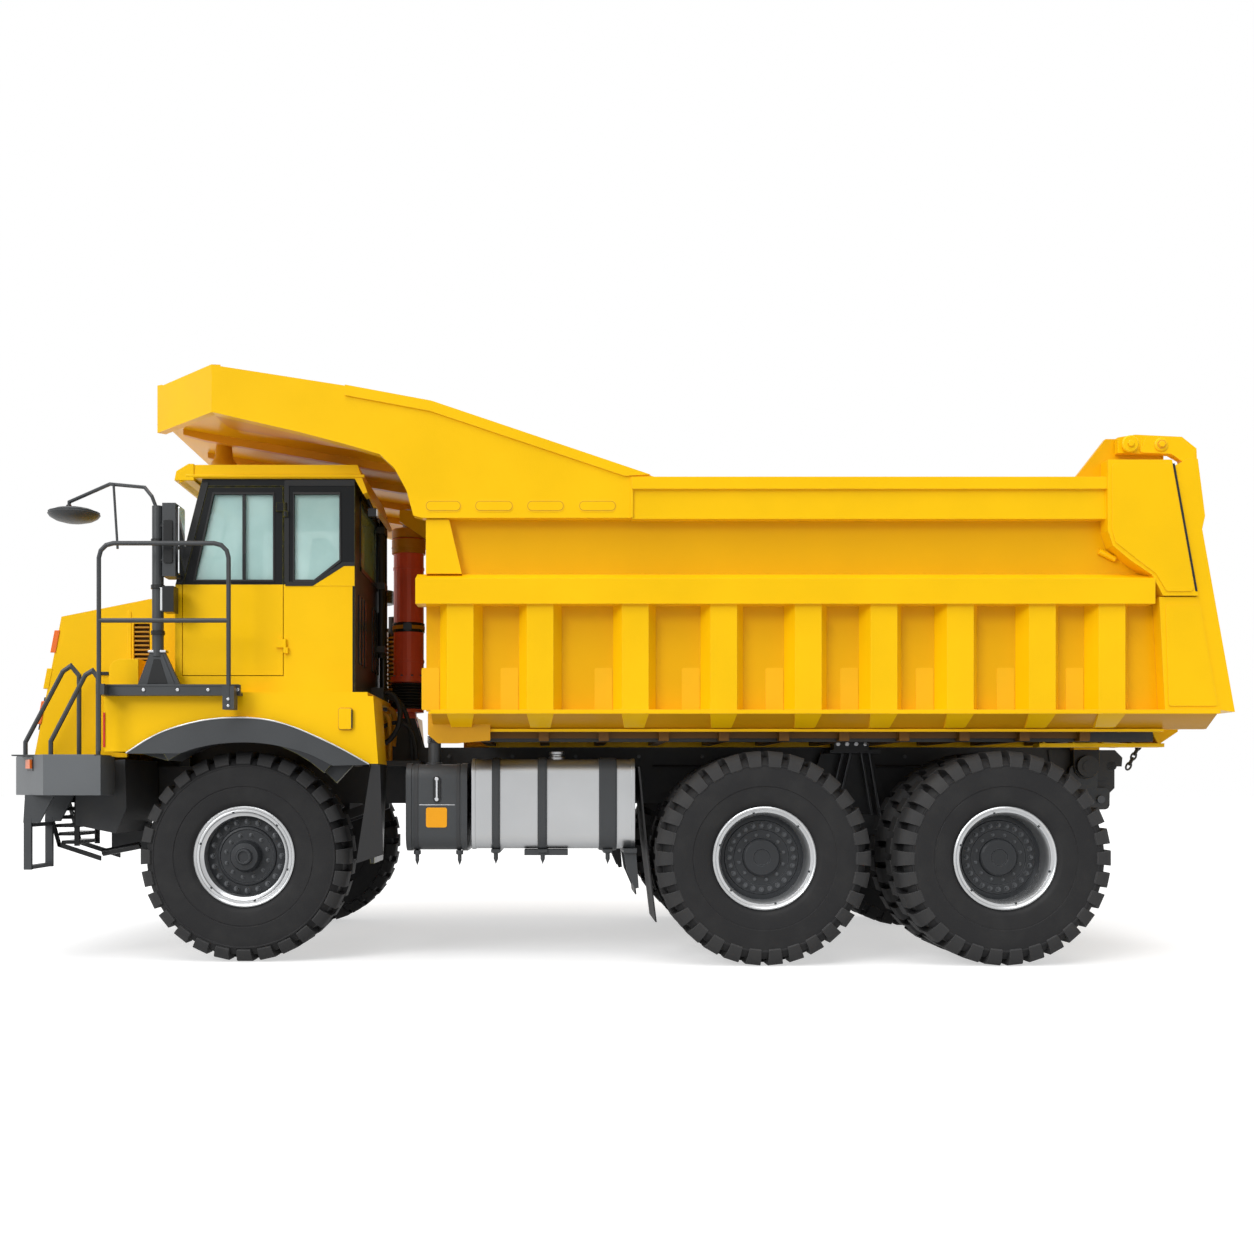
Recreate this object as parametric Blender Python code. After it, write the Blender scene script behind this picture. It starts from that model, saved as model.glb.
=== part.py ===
"""Mining dump truck: a three-axle wide-body tipper with an offset cab and a front telescopic hoist.

Metres. +X is forward, +Y is the truck's left, +Z is up, and the ground is Z = 0.
Each function below makes one sub-part, or one sub-part for each side.
"""
import math

import bpy
from mathutils import Vector

for old in list(bpy.data.objects):
    bpy.data.objects.remove(old, do_unlink=True)

# ---------------------------------------------------------------- driving sizes
SEAT = 0.0003               # gap between pieces that touch
PLAY = 0.006                # running gap round a moving piece
FACETS = 24                 # sides of a wheel
SMALL_FACETS = 16           # sides of a tank neck or tube end
PIN_FACETS = 24             # sides of a hinge pin and of its hole
PIN_FIT = 1.022             # hole radius over pin radius

TYRE_R = 0.745
TYRE_WIDTH = 0.43
TYRE_BORE = 0.330
RIM_FLANGE_R = 0.356
RIM_WELL_R = 0.300
FRONT_AXLE_X = 2.560
REAR_AXLES_X = {"rear_1": -1.085, "rear_2": -2.745}
FRONT_TYRE_Y = 1.385        # middle of the front tyre
TWIN_OUTER_Y = 1.615        # middle of the outer twin tyre
TWIN_SPACING = 0.500
DISC_T = 0.045              # rim disc thickness
FRONT_DISC_Y = 1.400        # inner face of the front rim disc
TWIN_DISC_Y = 1.630         # inner face of the twin rim disc
AXLE_Z = TYRE_R

KINGPIN_Y = 1.120
KINGPIN_R = 0.055
KINGPIN_HALF = 0.120        # half the height of the axle's kingpin eye
AXLE_TUBE_R = 0.120
DIFF_R = 0.250

RAIL_Y = (0.370, 0.450)     # inner and outer face of a frame rail
RAIL_BOTTOM = 1.110
RAIL_TOP = 1.550
NOSE_TOP = 1.400            # top of the rails under the cab and hood
NOSE_X = 1.420              # where the rails step down to the nose
RAIL_FRONT_X = 3.960
RAIL_REAR_X = -4.060

BED_PIVOT = (-3.800, 1.400)
PIVOT_PIN_R = 0.045
LUG_Y = (0.470, 0.550)      # bed hinge lug, beside the rail
BED_FRONT_X = 1.250
BED_REAR_TOP = (-3.840, 3.467)
BED_REAR_LOW = (-4.170, 1.765)
WALL_Y = (1.760, 1.800)     # bed side sheet, inner and outer face
BED_TOP = 3.354
BAND_Z = (3.071, 3.272)
BAND_Y = 1.890
TOP_RAIL_Y = 1.915
WAIST_Z = (2.484, 2.654, 2.706)
WAIST_Y = 1.945
HEM_Z = (1.738, 1.765)
HEM_Y = 1.930
RIB_Y = 1.915
RIB_WIDTH = 0.180
RIB_FLANK = 0.060
RIB_FRONTS = (1.097, 0.552, -0.097, -0.700, -1.277, -1.793, -2.314, -2.873, -3.348)
FLOOR_BOTTOM = 1.654
FLOOR_TOP = 1.700
FLOOR_FLAT_Y = 1.500
FLOOR_FRONT_X = 0.985
FLOOR_BEAM_END_X = -3.700
SHEET_T = 0.040

GATE_PIN = (-3.570, 3.583)
GATE_PIN_R = 0.028
GATE_Y = 1.900

CANOPY_NOSE = (3.240, 1.350)    # X and half width of the canopy's front edge
CANOPY_CORNER = (2.710, 1.890)  # X and half width where its corner begins
GUSSET_REAR_X = -0.165

HOIST_X = 1.570
HOIST_FOOT_Z = 1.740
HOIST_EYE_Z = 3.460
BARREL_R = 0.124
BARREL_Z = (1.850, 3.270)
STAGE_RADII = (0.105, 0.086, 0.066)
STAGE_WALL = 0.012
STAGE_TOPS = (3.300, 3.330, 3.360)
EYE_HALF_Y = 0.045
DASH_FRONT_X = 2.790
HOIST_PIN_R = 0.030
STAGE_FLOOR = 0.006         # floor of a hollow stage
CHEEK_Y = (0.112, 0.142)     # bed cheek plates beside the hoist's top eye

CAB_X = (1.772, 3.040)
CAB_Y = (0.220, 1.600)
CAB_Z = (1.904, 3.410)
CAB_BELT_Z = 2.660
CAB_BROW_X = 2.850
CAB_WALL = 0.050
ROOF_Z = 3.505
DOOR_X = (2.275, 2.992)
DOOR_Z = (2.020, 3.360)
HINGE_Y = 1.614
HINGE_X = 2.262
HINGE_R = 0.010
HINGE_HEIGHTS = (2.220, 3.180)
GLASS_T = 0.008

DECK_Z = 1.900
DECK_T = 0.040
FENDER_X = (1.640, 3.508)
FENDER_Y = (0.400, 1.700)
FLARE_Y = 1.750
FLARE_INNER_Y = 1.400
SKIRT_T = 0.040
FENDER_FOOT_Z = 1.485
ARCH_R = 0.870              # wheel arch radius round the front axle

BUMPER_Z = (1.180, 1.456)
BUMPER_FRONT_X = 4.283
BUMPER_NOSE_Y = 1.300
BUMPER_SIDE_Y = 1.750
BUMPER_CORNER_X = 3.915
BUMPER_REAR_X = 3.516

HOOD_Y = 1.200
HOOD_T = 0.030
HOOD_TOP_Z = 2.620
HOOD_REAR_X = 1.860
CAB_GAP = 0.030

TANK_Y = (0.750, 1.500)
FUEL_X = (-0.207, 0.954)
FUEL_Z = (0.795, 1.437)
HYDRAULIC_X = (0.990, 1.423)
HYDRAULIC_Z = (0.787, 1.401)
TANK_CORNER = 0.110

HANDRAIL_Y = 1.860
HANDRAIL_R = 0.016
MAST_X = 3.138
MAST_Y = 1.700

# ---------------------------------------------------------------- materials
COLOURS = {
    "yellow": ((0.86, 0.52, 0.02), 0.38, 0.0),
    "dark": ((0.045, 0.048, 0.052), 0.50, 0.0),
    "bumper_grey": ((0.12, 0.13, 0.14), 0.45, 0.0),
    "rubber": ((0.030, 0.030, 0.032), 0.85, 0.0),
    "rim": ((0.070, 0.073, 0.078), 0.45, 0.2),
    "aluminium": ((0.62, 0.63, 0.64), 0.30, 1.0),
    "steel": ((0.55, 0.56, 0.58), 0.22, 1.0),
    "red": ((0.45, 0.05, 0.03), 0.40, 0.0),
    "glass": ((0.45, 0.60, 0.58), 0.05, 0.0),
    "trim": ((0.060, 0.062, 0.066), 0.70, 0.0),
}


def material(slot):
    """Principled material of one slot, made once."""
    if slot in bpy.data.materials:
        return bpy.data.materials[slot]
    colour, roughness, metallic = COLOURS[slot]
    made = bpy.data.materials.new(slot)
    made.use_nodes = True
    shader = made.node_tree.nodes["Principled BSDF"]
    shader.inputs["Base Color"].default_value = (*colour, 1.0)
    shader.inputs["Roughness"].default_value = roughness
    shader.inputs["Metallic"].default_value = metallic
    return made


# ---------------------------------------------------------------- shapes: (points, faces)
def prism(outline, place, low, high):
    """Outline of flat points, given depth from low to high; place(u, v, depth) makes a 3-D point."""
    count = len(outline)
    points = [place(u, v, depth) for depth in (low, high) for u, v in outline]
    faces = [[(i + 1) % count, i, i + count, (i + 1) % count + count] for i in range(count)]
    faces.append(list(range(count)))
    faces.append([i + count for i in reversed(range(count))])
    return points, faces


def plate_y(outline_xz, low, high):
    """Side outline in X and Z, from Y low to Y high."""
    return prism(outline_xz, lambda u, v, d: (u, d, v), low, high)


def plate_x(outline_yz, low, high):
    """Cross section in Y and Z, from X low to X high."""
    return prism(outline_yz, lambda u, v, d: (d, u, v), low, high)


def plate_z(outline_xy, low, high):
    """Plan outline in X and Y, from Z low to Z high."""
    return prism(outline_xy, lambda u, v, d: (u, v, d), low, high)


def box(x, y, z):
    """Block between the two values of each of x, y and z."""
    return plate_z([(x[0], y[0]), (x[1], y[0]), (x[1], y[1]), (x[0], y[1])], z[0], z[1])


def turned(profile, centre, axis, facets=FACETS):
    """Closed profile of (radius, distance along axis) turned about the X, Y or Z axis at centre."""
    spin = {"X": lambda r, a, d: (d, r * math.cos(a), r * math.sin(a)),
            "Y": lambda r, a, d: (r * math.cos(a), d, r * math.sin(a)),
            "Z": lambda r, a, d: (r * math.cos(a), r * math.sin(a), d)}[axis]
    count = len(profile)
    points = []
    for step in range(facets):
        angle = 2 * math.pi * (step + 0.5) / facets
        points += [Vector(spin(r, angle, d)) + Vector(centre) for r, d in profile]
    faces = []
    for step in range(facets):
        here = step * count
        there = ((step + 1) % facets) * count
        faces += [[here + i, here + (i + 1) % count, there + (i + 1) % count, there + i] for i in range(count)]
    return points, faces


def rod(start, end, radius, facets=SMALL_FACETS, end_radius=None):
    """Round bar, or cone, between two points."""
    return pipe([start, end], radius, facets, end_radius)


def pipe(path, radius, facets=8, end_radius=None):
    """Round tube swept along a path of points, with flat ends and mitred bends."""
    path = [Vector(p) for p in path]
    legs = [(b - a).normalized() for a, b in zip(path, path[1:])]
    side = legs[0].orthogonal().normalized()
    points = []
    for index, centre in enumerate(path):
        before = legs[max(index - 1, 0)]
        after = legs[min(index, len(legs) - 1)]
        normal = (before + after).normalized()
        side = (side - before * side.dot(before)).normalized()
        up = before.cross(side)
        size = radius if index == 0 or end_radius is None else end_radius
        for step in range(facets):
            angle = 2 * math.pi * step / facets
            spoke = side * (size * math.cos(angle)) + up * (size * math.sin(angle))
            slide = -spoke.dot(normal) / before.dot(normal)
            points.append(centre + spoke + before * slide)
        side = (side - after * side.dot(after)).normalized()
    faces = []
    for ring in range(len(path) - 1):
        for step in range(facets):
            after = (step + 1) % facets
            base = ring * facets
            faces.append([base + step, base + after, base + facets + after, base + facets + step])
    faces.append(list(reversed(range(facets))))
    faces.append([(len(path) - 1) * facets + i for i in range(facets)])
    return points, faces


def rounded(corners, radii, steps=4):
    """Flat outline with each corner rounded to its own radius; 0 keeps it sharp."""
    outline = []
    for index, corner in enumerate(corners):
        here = Vector(corner)
        back = (Vector(corners[index - 1]) - here).normalized()
        ahead = (Vector(corners[(index + 1) % len(corners)]) - here).normalized()
        radius = radii[index % len(radii)]
        if radius == 0:
            outline.append(tuple(here))
            continue
        half = back.angle(ahead) / 2
        centre = here + (back + ahead).normalized() * (radius / math.sin(half))
        first = here + back * (radius / math.tan(half)) - centre
        turn = first.angle_signed(here + ahead * (radius / math.tan(half)) - centre)
        start = math.atan2(first.y, first.x)
        for step in range(steps + 1):
            angle = start - turn * step / steps
            outline.append((centre.x + radius * math.cos(angle), centre.y + radius * math.sin(angle)))
    return outline


def arc(centre, radius, start, end, steps):
    """Points on an arc, angles in degrees."""
    angles = [math.radians(start + (end - start) * i / steps) for i in range(steps + 1)]
    return [(centre[0] + radius * math.cos(a), centre[1] + radius * math.sin(a)) for a in angles]


def sided(shape, side):
    """The shape as it is for side +1, or mirrored to the right for side -1."""
    if side > 0:
        return shape
    points, faces = shape
    return [(p[0], -p[1], p[2]) for p in points], [list(reversed(face)) for face in faces]


def span(low, high, side):
    """Lowest and highest Y of a left-hand span, on either side."""
    return (low, high) if side > 0 else (-high, -low)


# ---------------------------------------------------------------- objects
def mesh_object(name, shape, origin, slot):
    """Object made of one shape, with its faces turned outward."""
    points, faces = shape
    mesh = bpy.data.meshes.new(name)
    mesh.from_pydata([Vector(p) - Vector(origin) for p in points], [], faces)
    mesh.validate()
    volume = 0.0
    for polygon in mesh.polygons:
        corners = [mesh.vertices[i].co for i in polygon.vertices]
        for second, third in zip(corners[1:], corners[2:]):
            volume += corners[0].dot(second.cross(third))
    if volume < 0:
        mesh.flip_normals()
    mesh.materials.append(material(slot))
    made = bpy.data.objects.new(name, mesh)
    made.location = origin
    bpy.context.scene.collection.objects.link(made)
    return made


def piece(name, slot, parts, cuts=(), origin=(0, 0, 0), smooth=None):
    """One sub-part: the first shape, joined with the rest of parts, less the cuts."""
    made = mesh_object(name, parts[0], origin, slot)
    steps = [("UNION", shape) for shape in parts[1:]] + [("DIFFERENCE", shape) for shape in cuts]
    for number, (operation, shape) in enumerate(steps):
        tool = mesh_object(f"{name}_tool_{number}", shape, origin, slot)
        tool.hide_render = True
        tool.display_type = "WIRE"
        step = made.modifiers.new(f"step_{number}", "BOOLEAN")
        step.operation = operation
        step.solver = "EXACT"
        step.object = tool
    if smooth is not None:
        made.data.shade_smooth()
        made.data.set_sharp_from_angle(angle=math.radians(smooth))
    return made


SIDES = (("left", 1), ("right", -1))


# ---------------------------------------------------------------- wheels and axles
def tyre_profile(middle):
    """Closed outline of one tyre: (radius, Y), from the inner bead round the tread and back."""
    half = TYRE_WIDTH / 2
    bead = half - 0.030
    tread = TYRE_R / math.cos(math.pi / FACETS)
    return [(TYRE_BORE, middle - bead), (RIM_FLANGE_R + 0.002, middle - bead),
            (0.400, middle - half + 0.004), (0.560, middle - half),
            (0.690, middle - half + 0.012), (tread, middle - half + 0.045),
            (tread, middle + half - 0.045), (0.690, middle + half - 0.012),
            (0.560, middle + half), (0.400, middle + half - 0.004),
            (RIM_FLANGE_R + 0.002, middle + bead), (TYRE_BORE, middle + bead)]


def front_rim_profile():
    """Closed outline of a front rim and hub: (radius, Y) round the spin axis."""
    half = TYRE_WIDTH / 2 - 0.030
    inner = FRONT_TYRE_Y - half
    outer = FRONT_TYRE_Y + half
    disc = FRONT_DISC_Y
    return [(0.0, disc), (RIM_WELL_R, disc), (RIM_WELL_R, inner - 0.010), (RIM_FLANGE_R, inner - 0.010),
            (RIM_FLANGE_R, inner - SEAT), (TYRE_BORE - SEAT, inner - SEAT),
            (TYRE_BORE - SEAT, outer + SEAT), (RIM_FLANGE_R, outer + SEAT),
            (RIM_FLANGE_R, outer + 0.012), (RIM_WELL_R, outer + 0.004),
            (0.285, disc + DISC_T), (0.205, disc + DISC_T), (0.190, disc + 0.110),
            (0.130, disc + 0.140), (0.120, disc + 0.200), (0.0, disc + 0.200)]


def twin_profile():
    """Closed outline of two tyres and the rim that carries them: (radius, Y)."""
    half = TYRE_WIDTH / 2 - 0.030
    inner_y = TWIN_OUTER_Y - TWIN_SPACING
    inner_tyre = tyre_profile(inner_y)
    outer_tyre = tyre_profile(TWIN_OUTER_Y)
    lip_in = inner_y - half - 0.012
    lip_out = TWIN_OUTER_Y + half + 0.012
    disc = TWIN_DISC_Y
    return ([(0.0, disc), (RIM_WELL_R, disc), (RIM_WELL_R, lip_in), (RIM_FLANGE_R, lip_in)]
            + inner_tyre[1:] + outer_tyre[:-1]
            + [(RIM_FLANGE_R, lip_out), (RIM_WELL_R, lip_out - 0.008),
               (0.285, disc + DISC_T), (0.0, disc + DISC_T)])


def closed_turn(profile, centre, facets=FACETS):
    """A turned solid whose outline starts and ends on its Y axis."""
    count = len(profile)
    shape_points = []
    for step in range(facets):
        angle = 2 * math.pi * (step + 0.5) / facets
        for radius, along in profile[1:-1]:
            shape_points.append((centre[0] + radius * math.cos(angle), along, centre[2] + radius * math.sin(angle)))
    ring = count - 2
    faces = []
    for step in range(facets):
        here = step * ring
        there = ((step + 1) % facets) * ring
        faces += [[here + i, here + i + 1, there + i + 1, there + i] for i in range(ring - 1)]
    faces.append([step * ring for step in range(facets)])
    faces.append([step * ring + ring - 1 for step in reversed(range(facets))])
    return shape_points, faces


def wheels():
    """Front tyres and rims, and the four twin wheels, each with its origin on its spin axis."""
    for name, side in SIDES:
        hub = (FRONT_AXLE_X, side * FRONT_TYRE_Y, AXLE_Z)
        centre = (FRONT_AXLE_X, 0, AXLE_Z)
        tyre = sided(turned(tyre_profile(FRONT_TYRE_Y), centre, "Y"), side)
        piece(f"front_tyre_{name}", "rubber", [tyre], origin=hub, smooth=40)
        rim = sided(closed_turn(front_rim_profile(), centre), side)
        piece(f"front_rim_{name}", "rim", [rim], origin=hub, smooth=40)
        for axle, x in REAR_AXLES_X.items():
            twin = sided(closed_turn(twin_profile(), (x, 0, AXLE_Z)), side)
            piece(f"{axle}_twin_wheel_{name}", "rubber", [twin],
                  origin=(x, side * TWIN_OUTER_Y, AXLE_Z), smooth=40)


def front_axle():
    """Beam with a kingpin eye at each end, and the two leaf springs clamped on it."""
    spring_y = (RAIL_Y[0] + 0.005, RAIL_Y[1] + 0.010)
    beam_top = AXLE_Z + 0.075
    spring_top = beam_top + 0.085
    reach = 0.780
    parts = [box((FRONT_AXLE_X - 0.065, FRONT_AXLE_X + 0.065), (-KINGPIN_Y, KINGPIN_Y),
                 (AXLE_Z - 0.075, beam_top))]
    for _, side in SIDES:
        parts.append(rod((FRONT_AXLE_X, side * KINGPIN_Y, AXLE_Z - KINGPIN_HALF),
                         (FRONT_AXLE_X, side * KINGPIN_Y, AXLE_Z + KINGPIN_HALF), KINGPIN_R))
        leaf = [(FRONT_AXLE_X - reach, RAIL_BOTTOM - 0.050), (FRONT_AXLE_X - 0.10, beam_top - 0.005),
                (FRONT_AXLE_X + 0.10, beam_top - 0.005), (FRONT_AXLE_X + reach, RAIL_BOTTOM - 0.050),
                (FRONT_AXLE_X + reach, RAIL_BOTTOM - SEAT), (FRONT_AXLE_X + reach - 0.08, RAIL_BOTTOM - SEAT),
                (FRONT_AXLE_X + 0.16, spring_top), (FRONT_AXLE_X - 0.16, spring_top),
                (FRONT_AXLE_X - reach + 0.08, RAIL_BOTTOM - SEAT), (FRONT_AXLE_X - reach, RAIL_BOTTOM - SEAT)]
        parts.append(plate_y(leaf, *span(*spring_y, side)))
    piece("front_axle", "dark", parts)


def knuckles():
    """Steering knuckles: a fork over the kingpin eye, with the wheel spindle on its outer side."""
    arm_low = AXLE_Z - KINGPIN_HALF - PLAY
    arm_high = AXLE_Z + KINGPIN_HALF + PLAY
    arm_t = 0.050
    back_y = KINGPIN_Y + KINGPIN_R + 0.020
    for name, side in SIDES:
        x = (FRONT_AXLE_X - 0.050, FRONT_AXLE_X + 0.050)
        arm_y = span(KINGPIN_Y - 0.050, back_y + 0.040, side)
        parts = [box(x, span(back_y, back_y + 0.040, side), (arm_low - arm_t, arm_high + arm_t)),
                 box(x, arm_y, (arm_high, arm_high + arm_t)),
                 box(x, arm_y, (arm_low - arm_t, arm_low)),
                 rod((FRONT_AXLE_X, side * (KINGPIN_Y), arm_low - SEAT),
                     (FRONT_AXLE_X, side * (KINGPIN_Y), AXLE_Z - KINGPIN_HALF - 0.0006), 0.030),
                 rod((FRONT_AXLE_X, side * (back_y + 0.020), AXLE_Z),
                     (FRONT_AXLE_X, side * (FRONT_DISC_Y - SEAT), AXLE_Z), 0.090)]
        piece(f"knuckle_{name}", "dark", parts, origin=(FRONT_AXLE_X, side * KINGPIN_Y, AXLE_Z))


def rear_axles():
    """Two drive axles, the trunnion between them and the leaf packs that join them."""
    middle = sum(REAR_AXLES_X.values()) / 2
    end_y = TWIN_DISC_Y - SEAT
    spring_y = (0.560, 0.700)
    spring_z = AXLE_Z + 0.150
    front_x = REAR_AXLES_X["rear_1"]
    rear_x = REAR_AXLES_X["rear_2"]
    parts = []
    for x in REAR_AXLES_X.values():
        parts.append(rod((x, -end_y, AXLE_Z), (x, end_y, AXLE_Z), AXLE_TUBE_R))
        parts.append(rod((x, -0.230, AXLE_Z), (x, 0.230, AXLE_Z), DIFF_R))
    for _, side in SIDES:
        leaf = [(front_x + 0.10, spring_z - 0.040), (front_x - 0.10, spring_z - 0.050), (middle, spring_z - 0.020),
                (rear_x + 0.10, spring_z - 0.050), (rear_x - 0.10, spring_z - 0.040),
                (rear_x - 0.10, spring_z), (middle - 0.18, spring_z + 0.130),
                (middle + 0.18, spring_z + 0.130), (front_x + 0.10, spring_z)]
        parts.append(plate_y(leaf, *span(*spring_y, side)))
        for x in REAR_AXLES_X.values():
            parts.append(box((x - 0.080, x + 0.080), span(*spring_y, side), (AXLE_Z, spring_z - 0.030)))
        saddle = [(middle - 0.240, 0.760), (middle + 0.240, 0.760), (middle + 0.150, RAIL_TOP - 0.100),
                  (middle - 0.150, RAIL_TOP - 0.100)]
        parts.append(plate_y(saddle, *span(RAIL_Y[1] + SEAT, RAIL_Y[1] + 0.070, side)))
        parts.append(rod((middle, side * RAIL_Y[1], 0.860), (middle, side * 0.720, 0.860), 0.080))
    parts.append(rod((middle, -0.500, 0.860), (middle, 0.500, 0.860), 0.060))
    piece("rear_axles", "dark", parts)


# ---------------------------------------------------------------- chassis
def chassis_frame():
    """Two rails that step down at the nose, cross members, the hoist foot and the bed hinge pin."""
    chamfer_x = BED_PIVOT[0] - 0.090
    rail = [(RAIL_REAR_X, RAIL_BOTTOM + 0.120), (RAIL_REAR_X + 0.120, RAIL_BOTTOM), (RAIL_FRONT_X, RAIL_BOTTOM),
            (RAIL_FRONT_X, NOSE_TOP), (NOSE_X + 0.150, NOSE_TOP), (NOSE_X, RAIL_TOP),
            (chamfer_x, RAIL_TOP), (RAIL_REAR_X, RAIL_TOP - 0.170)]
    parts = [plate_y(rail, *span(*RAIL_Y, 1))]
    inner = RAIL_Y[0] + 0.010
    middle = sum(REAR_AXLES_X.values()) / 2
    # cross members: front and rear X, bottom and top Z
    members = ((3.820, 3.900, 1.160, 1.360), (1.700, 1.840, 1.150, 1.350), (0.500, 0.600, 1.200, 1.450),
               (-0.350, -0.250, 1.200, 1.450), (middle - 0.120, middle + 0.120, 1.180, 1.480),
               (-3.400, -3.300, 1.200, 1.450), (-4.040, -3.960, 1.150, 1.300))
    for x0, x1, z0, z1 in members:
        parts.append(box((x0, x1), (-inner, inner), (z0, z1)))
    parts.append(plate_y(rail, *span(*RAIL_Y, -1)))
    foot = [(HOIST_X - 0.200, 1.300), (HOIST_X + 0.200, 1.300), (HOIST_X + 0.060, HOIST_FOOT_Z + 0.060),
            (HOIST_X - 0.060, HOIST_FOOT_Z + 0.060)]
    parts.append(box((HOIST_X - 0.180, HOIST_X + 0.130), (-inner, inner), (1.290, 1.390)))
    for _, side in SIDES:
        parts.append(plate_y(foot, *span(EYE_HALF_Y + PLAY, EYE_HALF_Y + 0.040, side)))
    parts.append(rod((HOIST_X, -EYE_HALF_Y - 0.020, HOIST_FOOT_Z), (HOIST_X, EYE_HALF_Y + 0.020, HOIST_FOOT_Z),
                     HOIST_PIN_R, PIN_FACETS))
    parts.append(rod((BED_PIVOT[0], -LUG_Y[1] - 0.040, BED_PIVOT[1]),
                     (BED_PIVOT[0], LUG_Y[1] + 0.040, BED_PIVOT[1]), PIVOT_PIN_R, PIN_FACETS))
    for _, side in SIDES:
        parts.append(rod((BED_PIVOT[0], side * (LUG_Y[1] + PLAY), BED_PIVOT[1]),
                         (BED_PIVOT[0], side * (LUG_Y[1] + 0.036), BED_PIVOT[1]), 0.085))
    piece("chassis_frame", "dark", parts)


def bumper():
    """Front bumper with chamfered ends and the hanging entry steps on both sides."""
    plan = [(BUMPER_FRONT_X, -BUMPER_NOSE_Y), (BUMPER_FRONT_X, BUMPER_NOSE_Y),
            (BUMPER_CORNER_X, BUMPER_SIDE_Y), (BUMPER_REAR_X, BUMPER_SIDE_Y),
            (BUMPER_REAR_X, BUMPER_SIDE_Y - 0.300), (RAIL_FRONT_X + SEAT, RAIL_Y[1] + 0.350),
            (RAIL_FRONT_X + SEAT, -RAIL_Y[1] - 0.350), (BUMPER_REAR_X, 0.300 - BUMPER_SIDE_Y),
            (BUMPER_REAR_X, -BUMPER_SIDE_Y), (BUMPER_CORNER_X, -BUMPER_SIDE_Y)]
    parts = [plate_z(plan, *BUMPER_Z)]
    step_y = (1.160, 1.560)
    step_x = (3.965, 4.155)
    for _, side in SIDES:
        cheek = [(3.955, BUMPER_Z[0] + 0.010), (4.160, BUMPER_Z[0] + 0.010), (4.150, 0.980),
                 (4.150, 0.655), (3.970, 0.655), (3.970, 0.980)]
        for y in step_y:
            parts.append(plate_y(cheek, *span(y - 0.015, y + 0.015, side)))
        for z in (0.655, 0.950):
            parts.append(box(step_x, span(step_y[0], step_y[1], side), (z, z + 0.035)))
    piece("front_bumper", "bumper_grey", parts)


def fenders():
    """Deck over each front wheel with its skirt, wheel arch, flare and mud panel."""
    for name, side in SIDES:
        top = DECK_Z - DECK_T
        x0, x1 = FENDER_X
        axle = (FRONT_AXLE_X, 0.700)
        outline = [(x0 + 0.030, DECK_Z), (x0, 1.400), (x0 + 0.120, 1.400)]
        outline += arc(axle, ARCH_R + 0.010, 140, 55, 8)
        outline += [(3.300, FENDER_FOOT_Z), (x1, FENDER_FOOT_Z), (x1, DECK_Z)]
        parts = [plate_y(outline, *span(FENDER_Y[1] - SKIRT_T, FENDER_Y[1], side)),
                 box((x0 + 0.030, x1), span(FENDER_Y[0], FENDER_Y[1], side), (top, DECK_Z)),
                 box((x1 - SKIRT_T, x1), span(0.900, FENDER_Y[1], side), (FENDER_FOOT_Z, top + 0.010))]
        flare = arc(axle, ARCH_R + 0.150, 133, 56, 10) + arc(axle, ARCH_R, 56, 133, 10)
        parts.append(plate_y(flare, *span(FLARE_INNER_Y, FLARE_Y, side)))
        rear = [(x0 + 0.036, top + 0.012), (x0 + 0.006, 1.394), (x0 + 0.012, 0.705), (x0 - 0.018, 0.705),
                (x0 - 0.045, 1.394), (x0 - 0.010, top + 0.012)]
        parts.append(plate_y(rear, *span(1.230, FENDER_Y[1], side)))
        for x in (1.950, 3.250):
            parts.append(box((x, x + 0.080), span(FENDER_Y[0], RAIL_Y[1], side), (NOSE_TOP + SEAT, top + 0.010)))
        piece(f"fender_{name}", "yellow", parts)


def hood():
    """Engine housing: a nose in front of the cab and a long box beside it, open below."""
    nose = [(4.190, BUMPER_Z[1] + SEAT), (3.990, 2.490), (3.340, HOOD_TOP_Z),
            (CAB_X[1] + CAB_GAP, HOOD_TOP_Z + 0.010), (CAB_X[1] + CAB_GAP, DECK_Z + SEAT),
            (FENDER_X[1] + SEAT, DECK_Z + SEAT), (FENDER_X[1] + SEAT, BUMPER_Z[1] + SEAT)]
    inside = [(4.190 - HOOD_T, 1.000), (4.190 - HOOD_T, BUMPER_Z[1]), (3.990 - HOOD_T, 2.490 - HOOD_T),
              (3.340, HOOD_TOP_Z - HOOD_T), (CAB_X[1] + CAB_GAP + HOOD_T, HOOD_TOP_Z - HOOD_T),
              (CAB_X[1] + CAB_GAP + HOOD_T, 1.000)]
    rear_y = (-HOOD_Y, CAB_Y[0] - CAB_GAP)
    parts = [plate_y(nose, -HOOD_Y, HOOD_Y),
             box((HOOD_REAR_X, CAB_X[1] + CAB_GAP + 0.010), rear_y, (DECK_Z + SEAT, HOOD_TOP_Z))]
    louvre = box((3.340, 3.460), (HOOD_Y - 0.100, HOOD_Y + 0.100), (2.160, 2.440))
    cuts = [plate_y(inside, -HOOD_Y + HOOD_T, HOOD_Y - HOOD_T),
            box((HOOD_REAR_X + HOOD_T, CAB_X[1] + 0.200), (rear_y[0] + HOOD_T, rear_y[1] - HOOD_T),
                (1.000, HOOD_TOP_Z - HOOD_T)),
            grille_shape(0.0, 0.100), louvre]
    piece("hood", "yellow", parts, cuts)


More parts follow.
